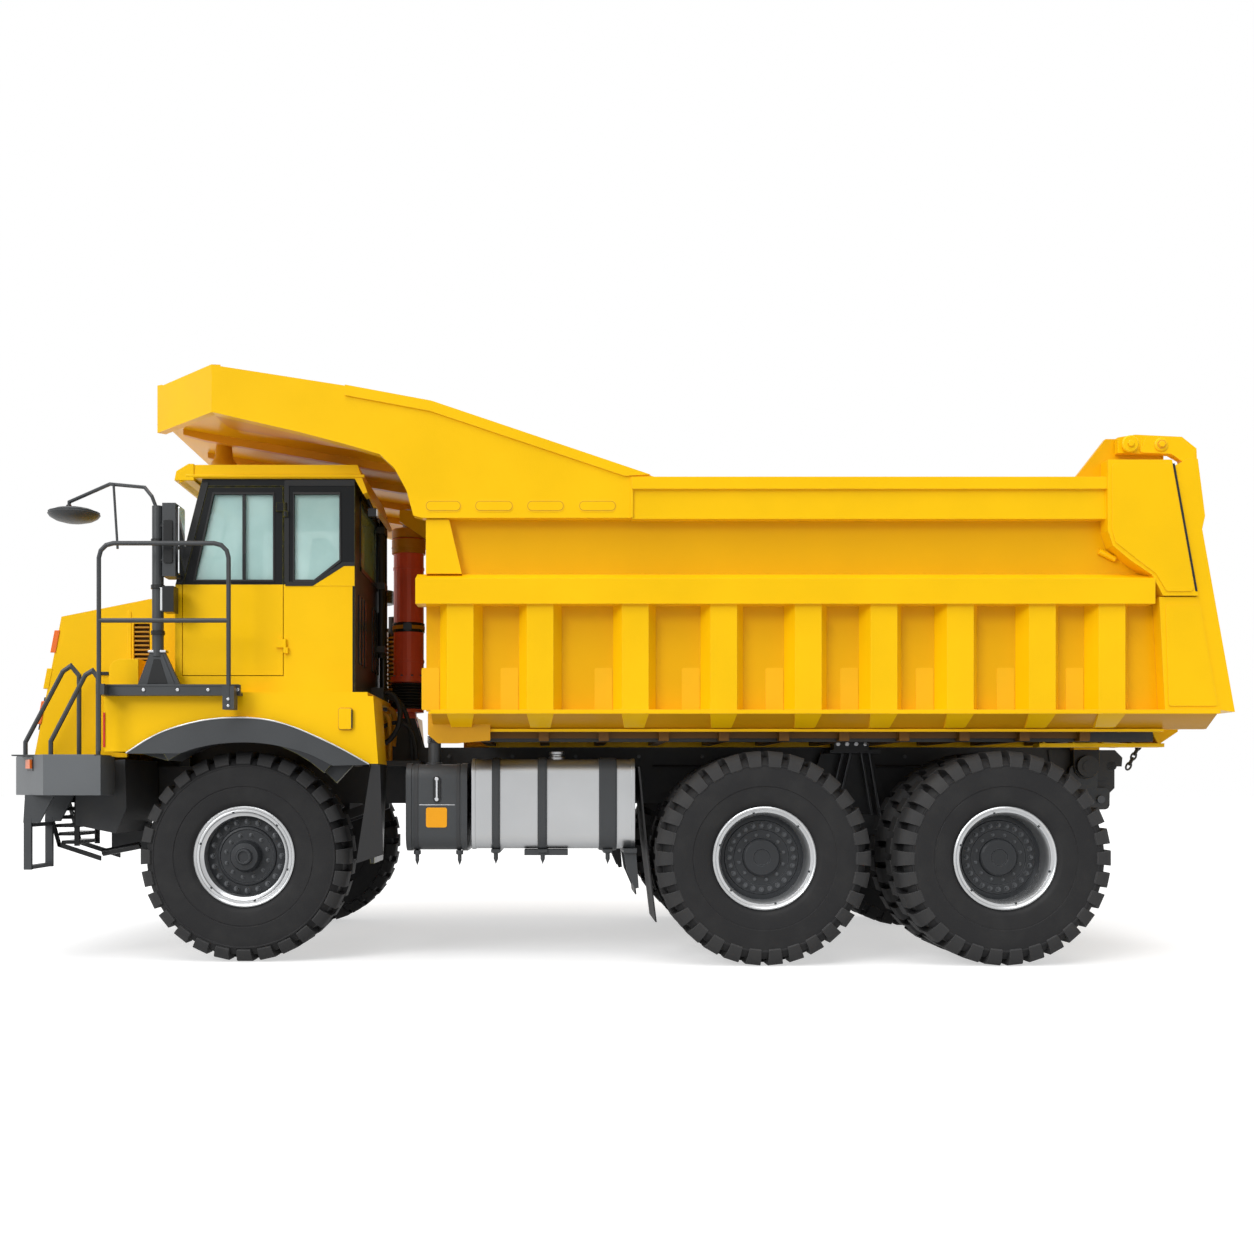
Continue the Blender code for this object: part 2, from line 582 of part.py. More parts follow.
def grille_shape(shrink, depth):
    """Slanted slab in the hood's front face; depth is how far it reaches each way from its middle."""
    low = (4.190 - 0.015 - 0.0350, 1.640 + shrink)
    high = (4.190 - 0.015 - 0.1650, 2.310 - shrink)
    outline = [(low[0] - depth, low[1]), (low[0] + depth, low[1]), (high[0] + depth, high[1]),
               (high[0] - depth, high[1])]
    return plate_y(outline, -0.820 + shrink, 0.820 - shrink)


def grille():
    """Radiator grille in the hood's front face, with open slots between its bars."""
    slots = []
    for row in range(5):
        z = 1.700 + row * 0.120
        slots.append(box((3.900, 4.300), (-0.740, 0.740), (z, z + 0.060)))
    piece("grille", "dark", [grille_shape(SEAT, 0.020)], slots)


def engine():
    """The engine as one plain block between the rails."""
    piece("engine_block", "dark", [box((2.000, 3.600), (-RAIL_Y[0] + SEAT, RAIL_Y[0] - SEAT), (1.000, 1.840))],
          [box((2.440, 2.680), (-0.500, 0.500), (0.900, 1.010)),
           box((1.500, 3.700), (0.250, 0.500), (1.400, 1.900))])


def tanks():
    """Fuel and hydraulic tanks on the left, battery box on the right, each on arms from the rail."""
    radii = (TANK_CORNER,)
    def carried(x, z, side):
        y_low, y_high = TANK_Y
        outline = rounded([(y_low, z[0]), (y_high, z[0]), (y_high, z[1]), (y_low, z[1])], radii, 3)
        parts = [sided(plate_x(outline, *x), side)]
        for share in (0.2, 0.8):
            at = x[0] + (x[1] - x[0]) * share
            parts.append(box((at - 0.030, at + 0.030), span(RAIL_Y[1] + SEAT, y_low + 0.100, side),
                             (RAIL_BOTTOM + 0.020, RAIL_BOTTOM + 0.140)))
        return parts
    piece("fuel_tank", "aluminium", carried(FUEL_X, FUEL_Z, 1)
          + [rod((0.350, 1.300, FUEL_Z[1] - 0.010), (0.350, 1.300, FUEL_Z[1] + 0.060), 0.050)], smooth=35)
    piece("hydraulic_tank", "dark", carried(HYDRAULIC_X, HYDRAULIC_Z, 1)
          + [rod((1.220, 1.250, HYDRAULIC_Z[1] - 0.010), (1.220, 1.250, 1.615), 0.050)], smooth=35)
    piece("battery_box", "dark", carried((0.150, 1.423), (0.850, 1.400), -1), smooth=35)


def mudflaps():
    """Curved flap in front of each leading twin wheel, hung from an arm on the rail."""
    for name, side in SIDES:
        outline = [(-0.240, 1.380), (-0.290, 0.850), (-0.360, 0.280), (-0.350, 0.280), (-0.280, 0.850), (-0.230, 1.380)]
        parts = [plate_y(outline, *span(0.920, 1.560, side)),
                 box((-0.250, -0.220), span(RAIL_Y[1] + SEAT, 1.000, side), (1.300, 1.380))]
        piece(f"mudflap_{name}", "rubber", parts)


def intake_and_exhaust():
    """Air cleaner and exhaust stack, both standing on the right deck behind the hood."""
    piece("air_cleaner", "dark",
          [rod((2.000, -1.450, DECK_Z + SEAT), (2.000, -1.450, 2.700), 0.170),
           rod((2.000, -1.450, 2.600), (2.000, -1.450, 2.950), 0.070),
           rod((2.000, -1.450, 2.940), (2.000, -1.450, 3.060), 0.130)], smooth=40)
    piece("exhaust_stack", "dark",
          [rod((1.800, -0.900, DECK_Z + SEAT), (1.800, -0.900, 2.750), 0.050),
           rod((1.800, -0.900, 2.050), (1.800, -0.900, 2.600), 0.052)], smooth=40)


# ---------------------------------------------------------------- rails and mirrors
def handrails():
    """Deck rail on each side: a hoop with a middle bar, on the deck's edge beam."""
    top, middle, bend = 2.910, 2.380, 0.100
    front, rear = 3.490, 2.600
    for name, side in SIDES:
        y = side * HANDRAIL_Y
        hoop = [(front, BUMPER_Z[1] + 0.030)] + [(front, top - bend)]
        hoop += arc((front - bend, top - bend), bend, 30, 90, 2)
        hoop += arc((rear + bend, top - bend), bend, 90, 180, 3)
        hoop += [(rear, 1.780)]
        parts = [pipe([(x, y, z) for x, z in hoop], HANDRAIL_R),
                 pipe([(front, y, middle), (rear, y, middle)], HANDRAIL_R),
                 box((2.540, 3.507), span(FENDER_Y[1] + 0.050 + SEAT, FENDER_Y[1] + 0.080, side), (1.872, 1.945)),
                 box((2.560, 2.640), span(FENDER_Y[1] + 0.070, HANDRAIL_Y + 0.010, side), (1.770, 1.930)),
                 box((3.450, 3.507), span(FENDER_Y[1] + 0.070, HANDRAIL_Y + 0.010, side), (1.872, 1.945)),
                 box((2.540, 3.507), span(FENDER_Y[1] + SEAT, FENDER_Y[1] + 0.060, side), (1.872, 1.892))]
        piece(f"deck_rail_{name}", "dark", parts)


def mirrors():
    """Mirror mast on each deck with its tall mirror; the left one also carries the round front mirror."""
    for name, side in SIDES:
        y = side * MAST_Y
        foot = [(2.980, DECK_Z + SEAT), (3.275, DECK_Z + SEAT), (3.275, DECK_Z + 0.050), (3.185, 2.185),
                (3.090, 2.185), (2.980, DECK_Z + 0.050)]
        parts = [plate_y(foot, *span(MAST_Y - 0.040, MAST_Y + 0.000, side)),
                 rod((MAST_X, side * (MAST_Y - 0.020), 2.150), (MAST_X, side * (MAST_Y - 0.020), 3.200), 0.040),
                 box((2.994, 3.085), span(MAST_Y - 0.100, MAST_Y + 0.060, side), (2.699, 3.209)),
                 box((3.050, 3.140), span(MAST_Y - 0.040, MAST_Y, side), (2.800, 2.850)),
                 box((3.050, 3.140), span(MAST_Y - 0.040, MAST_Y, side), (3.050, 3.100))]
        if side > 0:
            arm = [(MAST_X, y - 0.020, 3.160), (3.180, y - 0.020, 3.270), (3.240, y - 0.050, 3.340),
                   (3.500, 1.600, 3.374), (3.860, 1.400, 3.290), (3.860, 1.400, 3.225)]
            parts.append(pipe(arm, 0.013))
            parts.append(turned([(0.001, 3.235), (0.180, 3.215), (0.175, 3.195), (0.001, 3.190)],
                                (3.825, 1.400, 0), "Z", 20))
        piece(f"mirror_{name}", "dark", parts)


def grab_rails():
    """Two grab loops on the left end of the bumper, beside the steps."""
    top = BUMPER_Z[1]
    parts = [box((3.560, 4.195), (1.380, 1.600), (top + SEAT, top + 0.010))]
    loops = (((4.175, 1.560), (3.905, 2.070), (3.847, 2.110), (3.789, 2.040), (3.789, 1.440)),
             ((3.925, 1.560), (3.680, 2.030), (3.629, 2.060), (3.590, 2.010), (3.590, 1.620)))
    for y, loop in zip((1.400, 1.580), loops):
        path = [(loop[0][0], y, top + 0.005)] + [(x, y, z) for x, z in loop[:4]] + [(loop[4][0], y, top + 0.005)]
        parts.append(pipe(path, 0.017))
    piece("grab_rails", "dark", parts)


# ---------------------------------------------------------------- cab
def cab_outline(inset=0.0):
    """Side outline of the cab: (X, Z), front at the slanted windscreen."""
    return [(CAB_X[0] + inset, CAB_Z[0] + inset), (CAB_X[1] - inset, CAB_Z[0] + inset),
            (CAB_X[1] - inset, CAB_BELT_Z), (CAB_BROW_X - inset, CAB_Z[1]), (CAB_X[0] + inset, CAB_Z[1])]


def screen_x(z):
    """X of the windscreen's outer face at height z."""
    share = (z - CAB_BELT_Z) / (CAB_Z[1] - CAB_BELT_Z)
    return CAB_X[1] + (CAB_BROW_X - CAB_X[1]) * share


def door_outline(inset=0.0):
    """Side outline of the door opening: (X, Z)."""
    return [(DOOR_X[0] + inset, DOOR_Z[0] + inset), (DOOR_X[1] - inset, DOOR_Z[0] + inset),
            (DOOR_X[1] - inset, CAB_BELT_Z), (screen_x(DOOR_Z[1]) - 0.048 - inset, DOOR_Z[1] - inset),
            (DOOR_X[0] + inset, DOOR_Z[1] - inset)]


def door_window(inset=0.0):
    return [(2.350 + inset, 2.700 + inset), (2.900 - inset, 2.700 + inset),
            (2.766 - inset, 3.300 - inset), (2.350 + inset, 3.300 - inset)]


def side_window(inset=0.0):
    return [(2.060 + inset * 0.4, 2.700 + inset), (2.200 - inset, 2.700 + inset), (2.200 - inset, 3.300 - inset),
            (1.882 + inset, 3.300 - inset), (1.882 + inset, 2.840 + inset * 0.4)]


def screen_shape(inset, out, back):
    """Windscreen slab: inset from its opening, its faces out and back from the outer surface."""
    low, high = 2.700 + inset, 3.350 - inset
    outline = [(screen_x(low) + out, low), (screen_x(high) + out, high),
               (screen_x(high) - back, high), (screen_x(low) - back, low)]
    return plate_y(outline, CAB_Y[0] + 0.060 + inset, CAB_Y[1] - 0.060 - inset)


RIGHT_WINDOW = ((1.950, 2.700), (2.720, 3.300))     # X and Z of the right pane
REAR_WINDOW = ((0.350, 2.840), (1.310, 3.300))      # Y and Z of the rear pane


def cab():
    """Hollow cab body with its door opening and five windows, its roof, door and panes."""
    y0, y1 = CAB_Y
    inner = cab_outline(CAB_WALL)
    inner[3] = (inner[3][0], CAB_Z[1] + 0.2)
    inner[4] = (inner[4][0], CAB_Z[1] + 0.2)
    inner.insert(3, (CAB_BROW_X - CAB_WALL, CAB_Z[1]))
    through = (y1 - CAB_WALL - 0.020, y1 + 0.020)
    cuts = [plate_y(inner, y0 + CAB_WALL, y1 - CAB_WALL),
            plate_y(door_outline(), *through),
            plate_y(side_window(), *through),
            screen_shape(0.0, 0.080, 0.120),
            box((RIGHT_WINDOW[0][0], RIGHT_WINDOW[1][0]), (y0 - 0.020, y0 + CAB_WALL + 0.020),
                (RIGHT_WINDOW[0][1], RIGHT_WINDOW[1][1])),
            box((CAB_X[0] - 0.020, CAB_X[0] + CAB_WALL + 0.020), (REAR_WINDOW[0][0], REAR_WINDOW[1][0]),
                (REAR_WINDOW[0][1], REAR_WINDOW[1][1]))]
    parts = [plate_y(cab_outline(), y0, y1)]
    for z in HINGE_HEIGHTS:
        parts.append(box((HINGE_X - 0.020, DOOR_X[0] - 0.002), (y1 - 0.010, HINGE_Y + 0.012), (z - 0.040, z - SEAT)))
    piece("cab_body", "yellow", parts, cuts)
    roof = [(CAB_X[0] - 0.090, CAB_Z[1] - 0.100), (CAB_X[0] - 0.060, CAB_Z[1] - 0.110),
            (CAB_X[0] - SEAT * 2, CAB_Z[1] + SEAT), (CAB_BROW_X + 0.060, CAB_Z[1] + SEAT),
            (3.005, CAB_Z[1] - 0.030), (3.020, CAB_Z[1] + 0.020), (2.930, ROOF_Z), (CAB_X[0] - 0.020, ROOF_Z)]
    piece("cab_roof", "yellow", [plate_y(roof, y0 - 0.020, y1 + 0.020)])
    door()
    pane_y = (y1 - 0.030, y1 - 0.030 + GLASS_T)
    piece("side_glass", "glass", [plate_y(side_window(SEAT), *pane_y)])
    piece("windscreen", "glass", [screen_shape(SEAT, -0.020, 0.020 + GLASS_T)])
    (x0, z0), (x1, z1) = RIGHT_WINDOW
    piece("right_glass", "glass", [box((x0 + SEAT, x1 - SEAT), (y0 + 0.020, y0 + 0.020 + GLASS_T),
                                       (z0 + SEAT, z1 - SEAT))])
    (u0, z0), (u1, z1) = REAR_WINDOW
    piece("rear_glass", "glass", [box((CAB_X[0] + 0.020, CAB_X[0] + 0.020 + GLASS_T), (u0 + SEAT, u1 - SEAT),
                                      (z0 + SEAT, z1 - SEAT))])


def door():
    """Left door on two rear hinges, and the pane in its window."""
    y1 = CAB_Y[1]
    origin = (HINGE_X, HINGE_Y, DOOR_Z[0])
    parts = [plate_y(door_outline(PLAY), y1 - CAB_WALL, y1)]
    for z in HINGE_HEIGHTS:
        parts.append(box((HINGE_X, DOOR_X[0] + 0.050), (HINGE_Y - 0.004, HINGE_Y + 0.004), (z, z + 0.060)))
        parts.append(box((DOOR_X[0] + PLAY + 0.002, DOOR_X[0] + 0.050), (y1 - 0.010, HINGE_Y + 0.004), (z, z + 0.060)))
        parts.append(rod((HINGE_X, HINGE_Y, z), (HINGE_X, HINGE_Y, z + 0.060), HINGE_R, 12))
    piece("cab_door", "yellow", parts, [plate_y(door_window(), y1 - 0.100, y1 + 0.050)], origin)
    piece("door_glass", "glass", [plate_y(door_window(SEAT), y1 - 0.030, y1 - 0.030 + GLASS_T)], origin=origin)


def cab_interior():
    """Seat, dashboard and steering wheel."""
    floor = CAB_Z[0] + CAB_WALL + SEAT
    seat_y = (0.780, 1.280)
    piece("driver_seat", "trim",
          [box((2.080, 2.560), seat_y, (floor + 0.250, floor + 0.400)),
           box((2.160, 2.460), (0.900, 1.160), (floor, floor + 0.260)),
           plate_y([(2.080, floor + 0.380), (2.220, floor + 0.380), (2.130, floor + 1.100), (2.030, floor + 1.100)],
                   *seat_y)])
    wall = CAB_X[1] - CAB_WALL - SEAT
    dash = [(DASH_FRONT_X, 2.400), (wall, 2.400), (wall, 2.645), (2.850, 2.645), (DASH_FRONT_X, 2.560)]
    piece("dashboard", "trim", [plate_y(dash, CAB_Y[0] + CAB_WALL + SEAT, CAB_Y[1] - CAB_WALL - 0.012)])
    centre = Vector((2.690, 1.030, 2.640))
    tilt = Vector((-0.500, 0.0, 0.866))
    across = Vector((0.0, 1.0, 0.0))
    forward = across.cross(tilt)
    count = 16
    ring = [centre + (across * math.cos(a) + forward * math.sin(a)) * 0.200
            for a in [2 * math.pi * i / count for i in range(count)]]
    points, faces = [], []
    tube = 6
    for index, at in enumerate(ring):
        spoke = (at - centre).normalized()
        for step in range(tube):
            turn = 2 * math.pi * step / tube
            points.append(at + (spoke * math.cos(turn) + tilt * math.sin(turn)) * 0.015)
        for step in range(tube):
            a = index * tube
            b = ((index + 1) % count) * tube
            faces.append([a + step, a + (step + 1) % tube, b + (step + 1) % tube, b + step])
    piece("steering_wheel", "trim",
          [(points, faces),
           rod(centre + across * 0.195, centre - across * 0.195, 0.012, 6),
           rod(centre + tilt * 0.010, centre - tilt * 0.115, 0.030, 8),
           rod((2.730, centre.y, 2.535), (DASH_FRONT_X - SEAT, centre.y, 2.535), 0.022, 8)])


# ---------------------------------------------------------------- bed
def bed_rear_x(z):
    """X of the bed's rear edge at height z."""
    share = (z - BED_REAR_LOW[1]) / (BED_REAR_TOP[1] - BED_REAR_LOW[1])
    return BED_REAR_LOW[0] + (BED_REAR_TOP[0] - BED_REAR_LOW[0]) * share


def bed_sides():
    """Side wall with its top rail, band, waist beam, ribs, rear corner plate, hem and gate bracket."""
    for name, side in SIDES:
        wall_top = BED_TOP - 0.010
        notch = (BED_FRONT_X - 0.062, 3.300)
        wall = [(BED_FRONT_X, HEM_Z[1] - 0.005), (BED_FRONT_X, notch[1]), notch, (notch[0], wall_top),
                (bed_rear_x(wall_top), wall_top),
                (bed_rear_x(HEM_Z[1]), HEM_Z[1] - 0.005)]
        parts = [plate_y(wall, *span(*WALL_Y, side))]
        rear_band = bed_rear_x(BAND_Z[0]) + 0.500
        parts.append(box((rear_band - 0.100, GUSSET_REAR_X), span(WALL_Y[0], BAND_Y, side), (BAND_Z[0], BAND_Z[1] + 0.010)))
        parts.append(box((rear_band - 0.100, GUSSET_REAR_X), span(WALL_Y[0], TOP_RAIL_Y, side), (BAND_Z[1], BED_TOP)))
        waist = [(WALL_Y[0], WAIST_Z[0]), (WAIST_Y, WAIST_Z[0]), (WAIST_Y, WAIST_Z[1]), (WALL_Y[1], WAIST_Z[2]),
                 (WALL_Y[0], WAIST_Z[2])]
        parts.append(sided(plate_x(waist, -3.720, BED_FRONT_X + 0.060), side))
        hem = [(WALL_Y[0] + 0.010, HEM_Z[0]), (HEM_Y, HEM_Z[0]), (HEM_Y, HEM_Z[1]), (WALL_Y[0] + 0.010, HEM_Z[1])]
        parts.append(sided(plate_x(hem, bed_rear_x(HEM_Z[1]), BED_FRONT_X - 0.040), side))
        for front in RIB_FRONTS:
            rib = [(front + RIB_FLANK, WALL_Y[0] + 0.010), (front + RIB_FLANK, WALL_Y[1]), (front, RIB_Y),
                   (front - RIB_WIDTH, RIB_Y), (front - RIB_WIDTH - RIB_FLANK, WALL_Y[1]),
                   (front - RIB_WIDTH - RIB_FLANK, WALL_Y[0] + 0.010)]
            parts.append(sided(plate_z(rib, HEM_Z[1] - 0.010, WAIST_Z[0] + 0.010), side))
        corner = [(-3.760, WAIST_Z[0] + 0.050), (-3.800, HEM_Z[1] - 0.010), (bed_rear_x(HEM_Z[1]), HEM_Z[1] - 0.010),
                  (bed_rear_x(WAIST_Z[0] + 0.050), WAIST_Z[0] + 0.050)]
        parts.append(plate_y(corner, *span(WALL_Y[0] + 0.010, RIB_Y, side)))
        ear = [(-3.404, BED_REAR_TOP[1]), BED_REAR_TOP, (bed_rear_x(2.541), 2.541), (-3.780, 2.541),
               (-3.704, 2.684), (-3.560, 2.780), (-3.440, 2.880), (-3.404, 2.984)]
        parts.append(plate_y(ear, *span(WALL_Y[0], HEM_Y, side)))
        bracket = [(-3.200, BED_TOP - 0.020), (-3.440, 3.640), (-3.840, 3.640), (-3.840, 3.400), (-3.600, 3.300)]
        parts.append(plate_y(bracket, *span(WALL_Y[0], WALL_Y[1], side)))
        parts.append(rod((GATE_PIN[0], side * WALL_Y[0], GATE_PIN[1]),
                         (GATE_PIN[0], side * (BAND_Y - 0.005), GATE_PIN[1]), GATE_PIN_R, PIN_FACETS))
        piece(f"bed_side_{name}", "yellow", parts)


def bed_floor():
    """Floor with turned-up edges, two long beams on the chassis, tail boxes and hinge lugs."""
    edge = WALL_Y[0] - SEAT
    section = [(-FLOOR_FLAT_Y, FLOOR_BOTTOM), (FLOOR_FLAT_Y, FLOOR_BOTTOM), (edge, 1.735), (edge, 1.800),
               (FLOOR_FLAT_Y - 0.030, FLOOR_TOP), (0.030 - FLOOR_FLAT_Y, FLOOR_TOP), (-edge, 1.800), (-edge, 1.735)]
    rear = bed_rear_x(FLOOR_BOTTOM) + 0.030
    parts = [plate_x(section, rear, FLOOR_FRONT_X)]
    for _, side in SIDES:
        parts.append(box((FLOOR_BEAM_END_X, FLOOR_FRONT_X - 0.100), span(RAIL_Y[0] - 0.010, LUG_Y[1], side),
                         (RAIL_TOP + SEAT, FLOOR_BOTTOM + 0.010)))
        tail = [(-3.480, FLOOR_BOTTOM + 0.010), (-3.560, 1.560), (-3.960, 1.540), (-4.100, FLOOR_BOTTOM - 0.020),
                (-4.100, FLOOR_BOTTOM + 0.010)]
        parts.append(plate_y(tail, *span(LUG_Y[1] + 0.120, 1.450, side)))
        x, z = BED_PIVOT
        lug = [(x - 0.100, FLOOR_BOTTOM + 0.010), (x - 0.100, z)] + arc(BED_PIVOT, 0.100, 180, 360, 6)
        lug += [(x + 0.100, FLOOR_BOTTOM + 0.010)]
        parts.append(plate_y(lug[:1] + lug[2:], *span(*LUG_Y, side)))
    holes = [rod((BED_PIVOT[0], -1.0, BED_PIVOT[1]), (BED_PIVOT[0], 1.0, BED_PIVOT[1]),
                 PIVOT_PIN_R * PIN_FIT, PIN_FACETS)]
    piece("bed_floor", "yellow", parts, holes, origin=(BED_PIVOT[0], 0, BED_PIVOT[1]))


def bed_front_wall():
    """Sloping front wall between the sides, with two cheek plates for the hoist's top eye."""
    edge = WALL_Y[0] - SEAT
    top_z = 3.300
    top_x = BED_FRONT_X - 0.010
    foot_x = FLOOR_FRONT_X + SEAT
    wall = [(foot_x, FLOOR_BOTTOM + 0.010), (foot_x + SHEET_T, FLOOR_BOTTOM + 0.010), (top_x, top_z),
            (top_x - SHEET_T, top_z)]
    parts = [plate_y(wall, -edge, edge)]
    cheek = [(top_x - 0.030, 3.120), (HOIST_X + 0.060, 3.400), (HOIST_X + 0.060, HOIST_EYE_Z + 0.030),
             (HOIST_X - 0.070, HOIST_EYE_Z + 0.030), (top_x - 0.030, top_z - 0.060)]
    for _, side in SIDES:
        parts.append(plate_y(cheek, *span(*CHEEK_Y, side)))
    piece("bed_front_wall", "yellow", parts)


def canopy():
    """Canopy over the cab with side gussets that run back along the bed's sides."""
    gusset_y = (WALL_Y[1] + SEAT, BAND_Y)
    top = [(2.710, 4.125), (1.780, 3.980), (1.200, 3.870), (-0.322, 3.358)]
    arch = [(BED_FRONT_X + 0.020, 3.078), (1.330, 3.095), (1.377, 3.267), (1.459, 3.418), (1.560, 3.514),
            (1.770, 3.576), (2.110, 3.665), (2.710, 3.802)]
    side_plate = top + [(GUSSET_REAR_X - 0.157, BED_TOP + SEAT), (GUSSET_REAR_X + SEAT, BED_TOP + SEAT),
                        (GUSSET_REAR_X + SEAT, 3.078)] + arch
    main = [(BED_FRONT_X - 0.060, 3.300 + SEAT), (BED_FRONT_X, 3.300 + SEAT), (1.420, 3.600), (3.200, 3.905),
            (CANOPY_NOSE[0], 3.912), (CANOPY_NOSE[0], 4.144), (3.190, 4.135), (3.180, 3.955), (1.390, 3.650),
            (BED_FRONT_X - 0.060, 3.360)]
    parts = [plate_y(main, -CANOPY_CORNER[1], CANOPY_CORNER[1])]
    nose_x, nose_y = CANOPY_NOSE
    corner_x, corner_y = CANOPY_CORNER
    for _, side in SIDES:
        parts.append(plate_y(side_plate, *span(*gusset_y, side)))
        fascia = [(nose_x, nose_y), (corner_x, corner_y), (corner_x - 0.060, corner_y - 0.010),
                  (nose_x - 0.050, nose_y - 0.040)]
        parts.append(sided(plate_z(fascia, 3.800, 4.128), side))
    cuts = []
    for _, side in SIDES:
        wedge = [(nose_x + 0.300, nose_y), (nose_x, nose_y), (corner_x, corner_y), (corner_x, corner_y + 0.300),
                 (nose_x + 0.300, corner_y + 0.300)]
        cuts.append(sided(plate_z(wedge, 3.500, 4.500), side))
    piece("bed_canopy", "yellow", parts, cuts)


def tailgate():
    """Top-hung tailgate with an arm over each side wall to its hinge pin."""
    panel = [(bed_rear_x(3.420) - 2 * SEAT, 3.420), (bed_rear_x(1.765) - 2 * SEAT, 1.765), (-4.284, 1.750),
             (-4.060, 3.000), (-4.080, 3.090), (-4.030, 3.480), (-3.960, 3.480)]
    arm = [(-3.500, 3.530), (-3.500, 3.636), (-3.620, 3.655), (-3.940, 3.640), (-4.040, 3.560), (-4.050, 3.300),
           (-3.960, 3.300), (-3.930, 3.480), (-3.860, 3.520)]
    parts = [plate_y(panel, -GATE_Y, GATE_Y)]
    arm_y = (WALL_Y[1] + PLAY, WALL_Y[1] + 0.060)
    holes = []
    for _, side in SIDES:
        parts.append(plate_y(arm, *span(*arm_y, side)))
    holes.append(rod((GATE_PIN[0], -2.2, GATE_PIN[1]), (GATE_PIN[0], 2.2, GATE_PIN[1]),
                     GATE_PIN_R * PIN_FIT, PIN_FACETS))
    piece("tailgate", "yellow", parts, holes, origin=(GATE_PIN[0], 0, GATE_PIN[1]))


# ---------------------------------------------------------------- hoist
def hoist():
    """Telescopic hoist: a barrel on the chassis pin and three nested stages with the top eye."""
    foot = (HOIST_X, 0, HOIST_FOOT_Z)
    bottom, top = BARREL_Z
    barrel_in = BARREL_R - 0.014
    eye_foot = rod((HOIST_X, -EYE_HALF_Y, HOIST_FOOT_Z), (HOIST_X, EYE_HALF_Y, HOIST_FOOT_Z), 0.075)
    neck = box((HOIST_X - 0.060, HOIST_X + 0.060), (-EYE_HALF_Y, EYE_HALF_Y), (HOIST_FOOT_Z, bottom + 0.010))
    tube = rod((HOIST_X, 0, bottom), (HOIST_X, 0, top), BARREL_R, 24)
    flange = rod((HOIST_X, 0, 2.100), (HOIST_X, 0, 2.140), BARREL_R + 0.020, 24)
    cap = rod((HOIST_X, 0, top - 0.110), (HOIST_X, 0, top), BARREL_R + 0.010, 24)
    bore = rod((HOIST_X, 0, bottom + 0.030), (HOIST_X, 0, top + 0.100), barrel_in, 24)
    pin_hole = rod((HOIST_X, -0.2, HOIST_FOOT_Z), (HOIST_X, 0.2, HOIST_FOOT_Z),
                   HOIST_PIN_R * PIN_FIT, PIN_FACETS)
    piece("hoist_barrel", "red", [tube, neck, eye_foot, flange, cap], [bore, pin_hole], foot, smooth=40)
    for number, (radius, stage_top) in enumerate(zip(STAGE_RADII, STAGE_TOPS), 1):
        low = bottom + 0.030 + SEAT + (STAGE_FLOOR + SEAT) * (number - 1)
        body = rod((HOIST_X, 0, low), (HOIST_X, 0, stage_top), radius, 24)
        parts, cuts = [body], []
        if number < len(STAGE_RADII):
            cuts.append(rod((HOIST_X, 0, low + STAGE_FLOOR), (HOIST_X, 0, stage_top + 0.1), radius - STAGE_WALL, 24))
        else:
            parts.append(box((HOIST_X - 0.045, HOIST_X + 0.045), (-EYE_HALF_Y, EYE_HALF_Y),
                             (stage_top - 0.010, HOIST_EYE_Z)))
            parts.append(rod((HOIST_X, -EYE_HALF_Y, HOIST_EYE_Z), (HOIST_X, EYE_HALF_Y, HOIST_EYE_Z), 0.060))
            pin_y = CHEEK_Y[0] - SEAT
            parts.append(rod((HOIST_X, -pin_y, HOIST_EYE_Z), (HOIST_X, pin_y, HOIST_EYE_Z), 0.032))
        piece(f"hoist_stage_{number}", "steel", parts, cuts, foot, smooth=40)


wheels()
front_axle()
knuckles()
rear_axles()
chassis_frame()
bumper()
fenders()
hood()
grille()
engine()
tanks()
mudflaps()
intake_and_exhaust()
handrails()
mirrors()
grab_rails()
cab()
cab_interior()
bed_floor()
bed_sides()
bed_front_wall()
canopy()
tailgate()
hoist()
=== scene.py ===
import math
import random

import bmesh
import bpy
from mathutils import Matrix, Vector


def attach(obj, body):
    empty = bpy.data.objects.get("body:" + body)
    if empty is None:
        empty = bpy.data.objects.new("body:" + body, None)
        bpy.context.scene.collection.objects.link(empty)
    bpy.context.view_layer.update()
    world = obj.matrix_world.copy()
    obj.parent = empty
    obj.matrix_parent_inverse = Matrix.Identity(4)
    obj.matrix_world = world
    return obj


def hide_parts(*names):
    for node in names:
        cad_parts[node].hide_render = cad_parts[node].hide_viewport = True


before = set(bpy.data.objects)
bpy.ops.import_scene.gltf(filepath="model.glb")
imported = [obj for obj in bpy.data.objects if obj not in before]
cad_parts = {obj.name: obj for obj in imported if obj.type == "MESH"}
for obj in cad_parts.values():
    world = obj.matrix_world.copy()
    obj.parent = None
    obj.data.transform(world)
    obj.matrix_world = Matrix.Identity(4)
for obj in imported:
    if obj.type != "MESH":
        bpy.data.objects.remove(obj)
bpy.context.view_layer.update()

random.seed(7)
SIDES = (("left", 1), ("right", -1))


# ---------------------------------------------------------------- materials
def tree_of(name):
    """New material with its node tree and shader."""
    made = bpy.data.materials.new(name)
    made.use_nodes = True
    tree = made.node_tree
    return made, tree, tree.nodes["Principled BSDF"]


def link(tree, source, target):
    tree.links.new(source, target)


def number_node(tree, operation, first, second=None, clamp=False):
    """Math node; each input is a number or a socket."""
    node = tree.nodes.new("ShaderNodeMath")
    node.operation = operation
    node.use_clamp = clamp
    for index, value in enumerate((first, second)):
        if value is None:
            continue
        if hasattr(value, "is_linked"):
            link(tree, value, node.inputs[index])
        else:
            node.inputs[index].default_value = value
    return node.outputs[0]


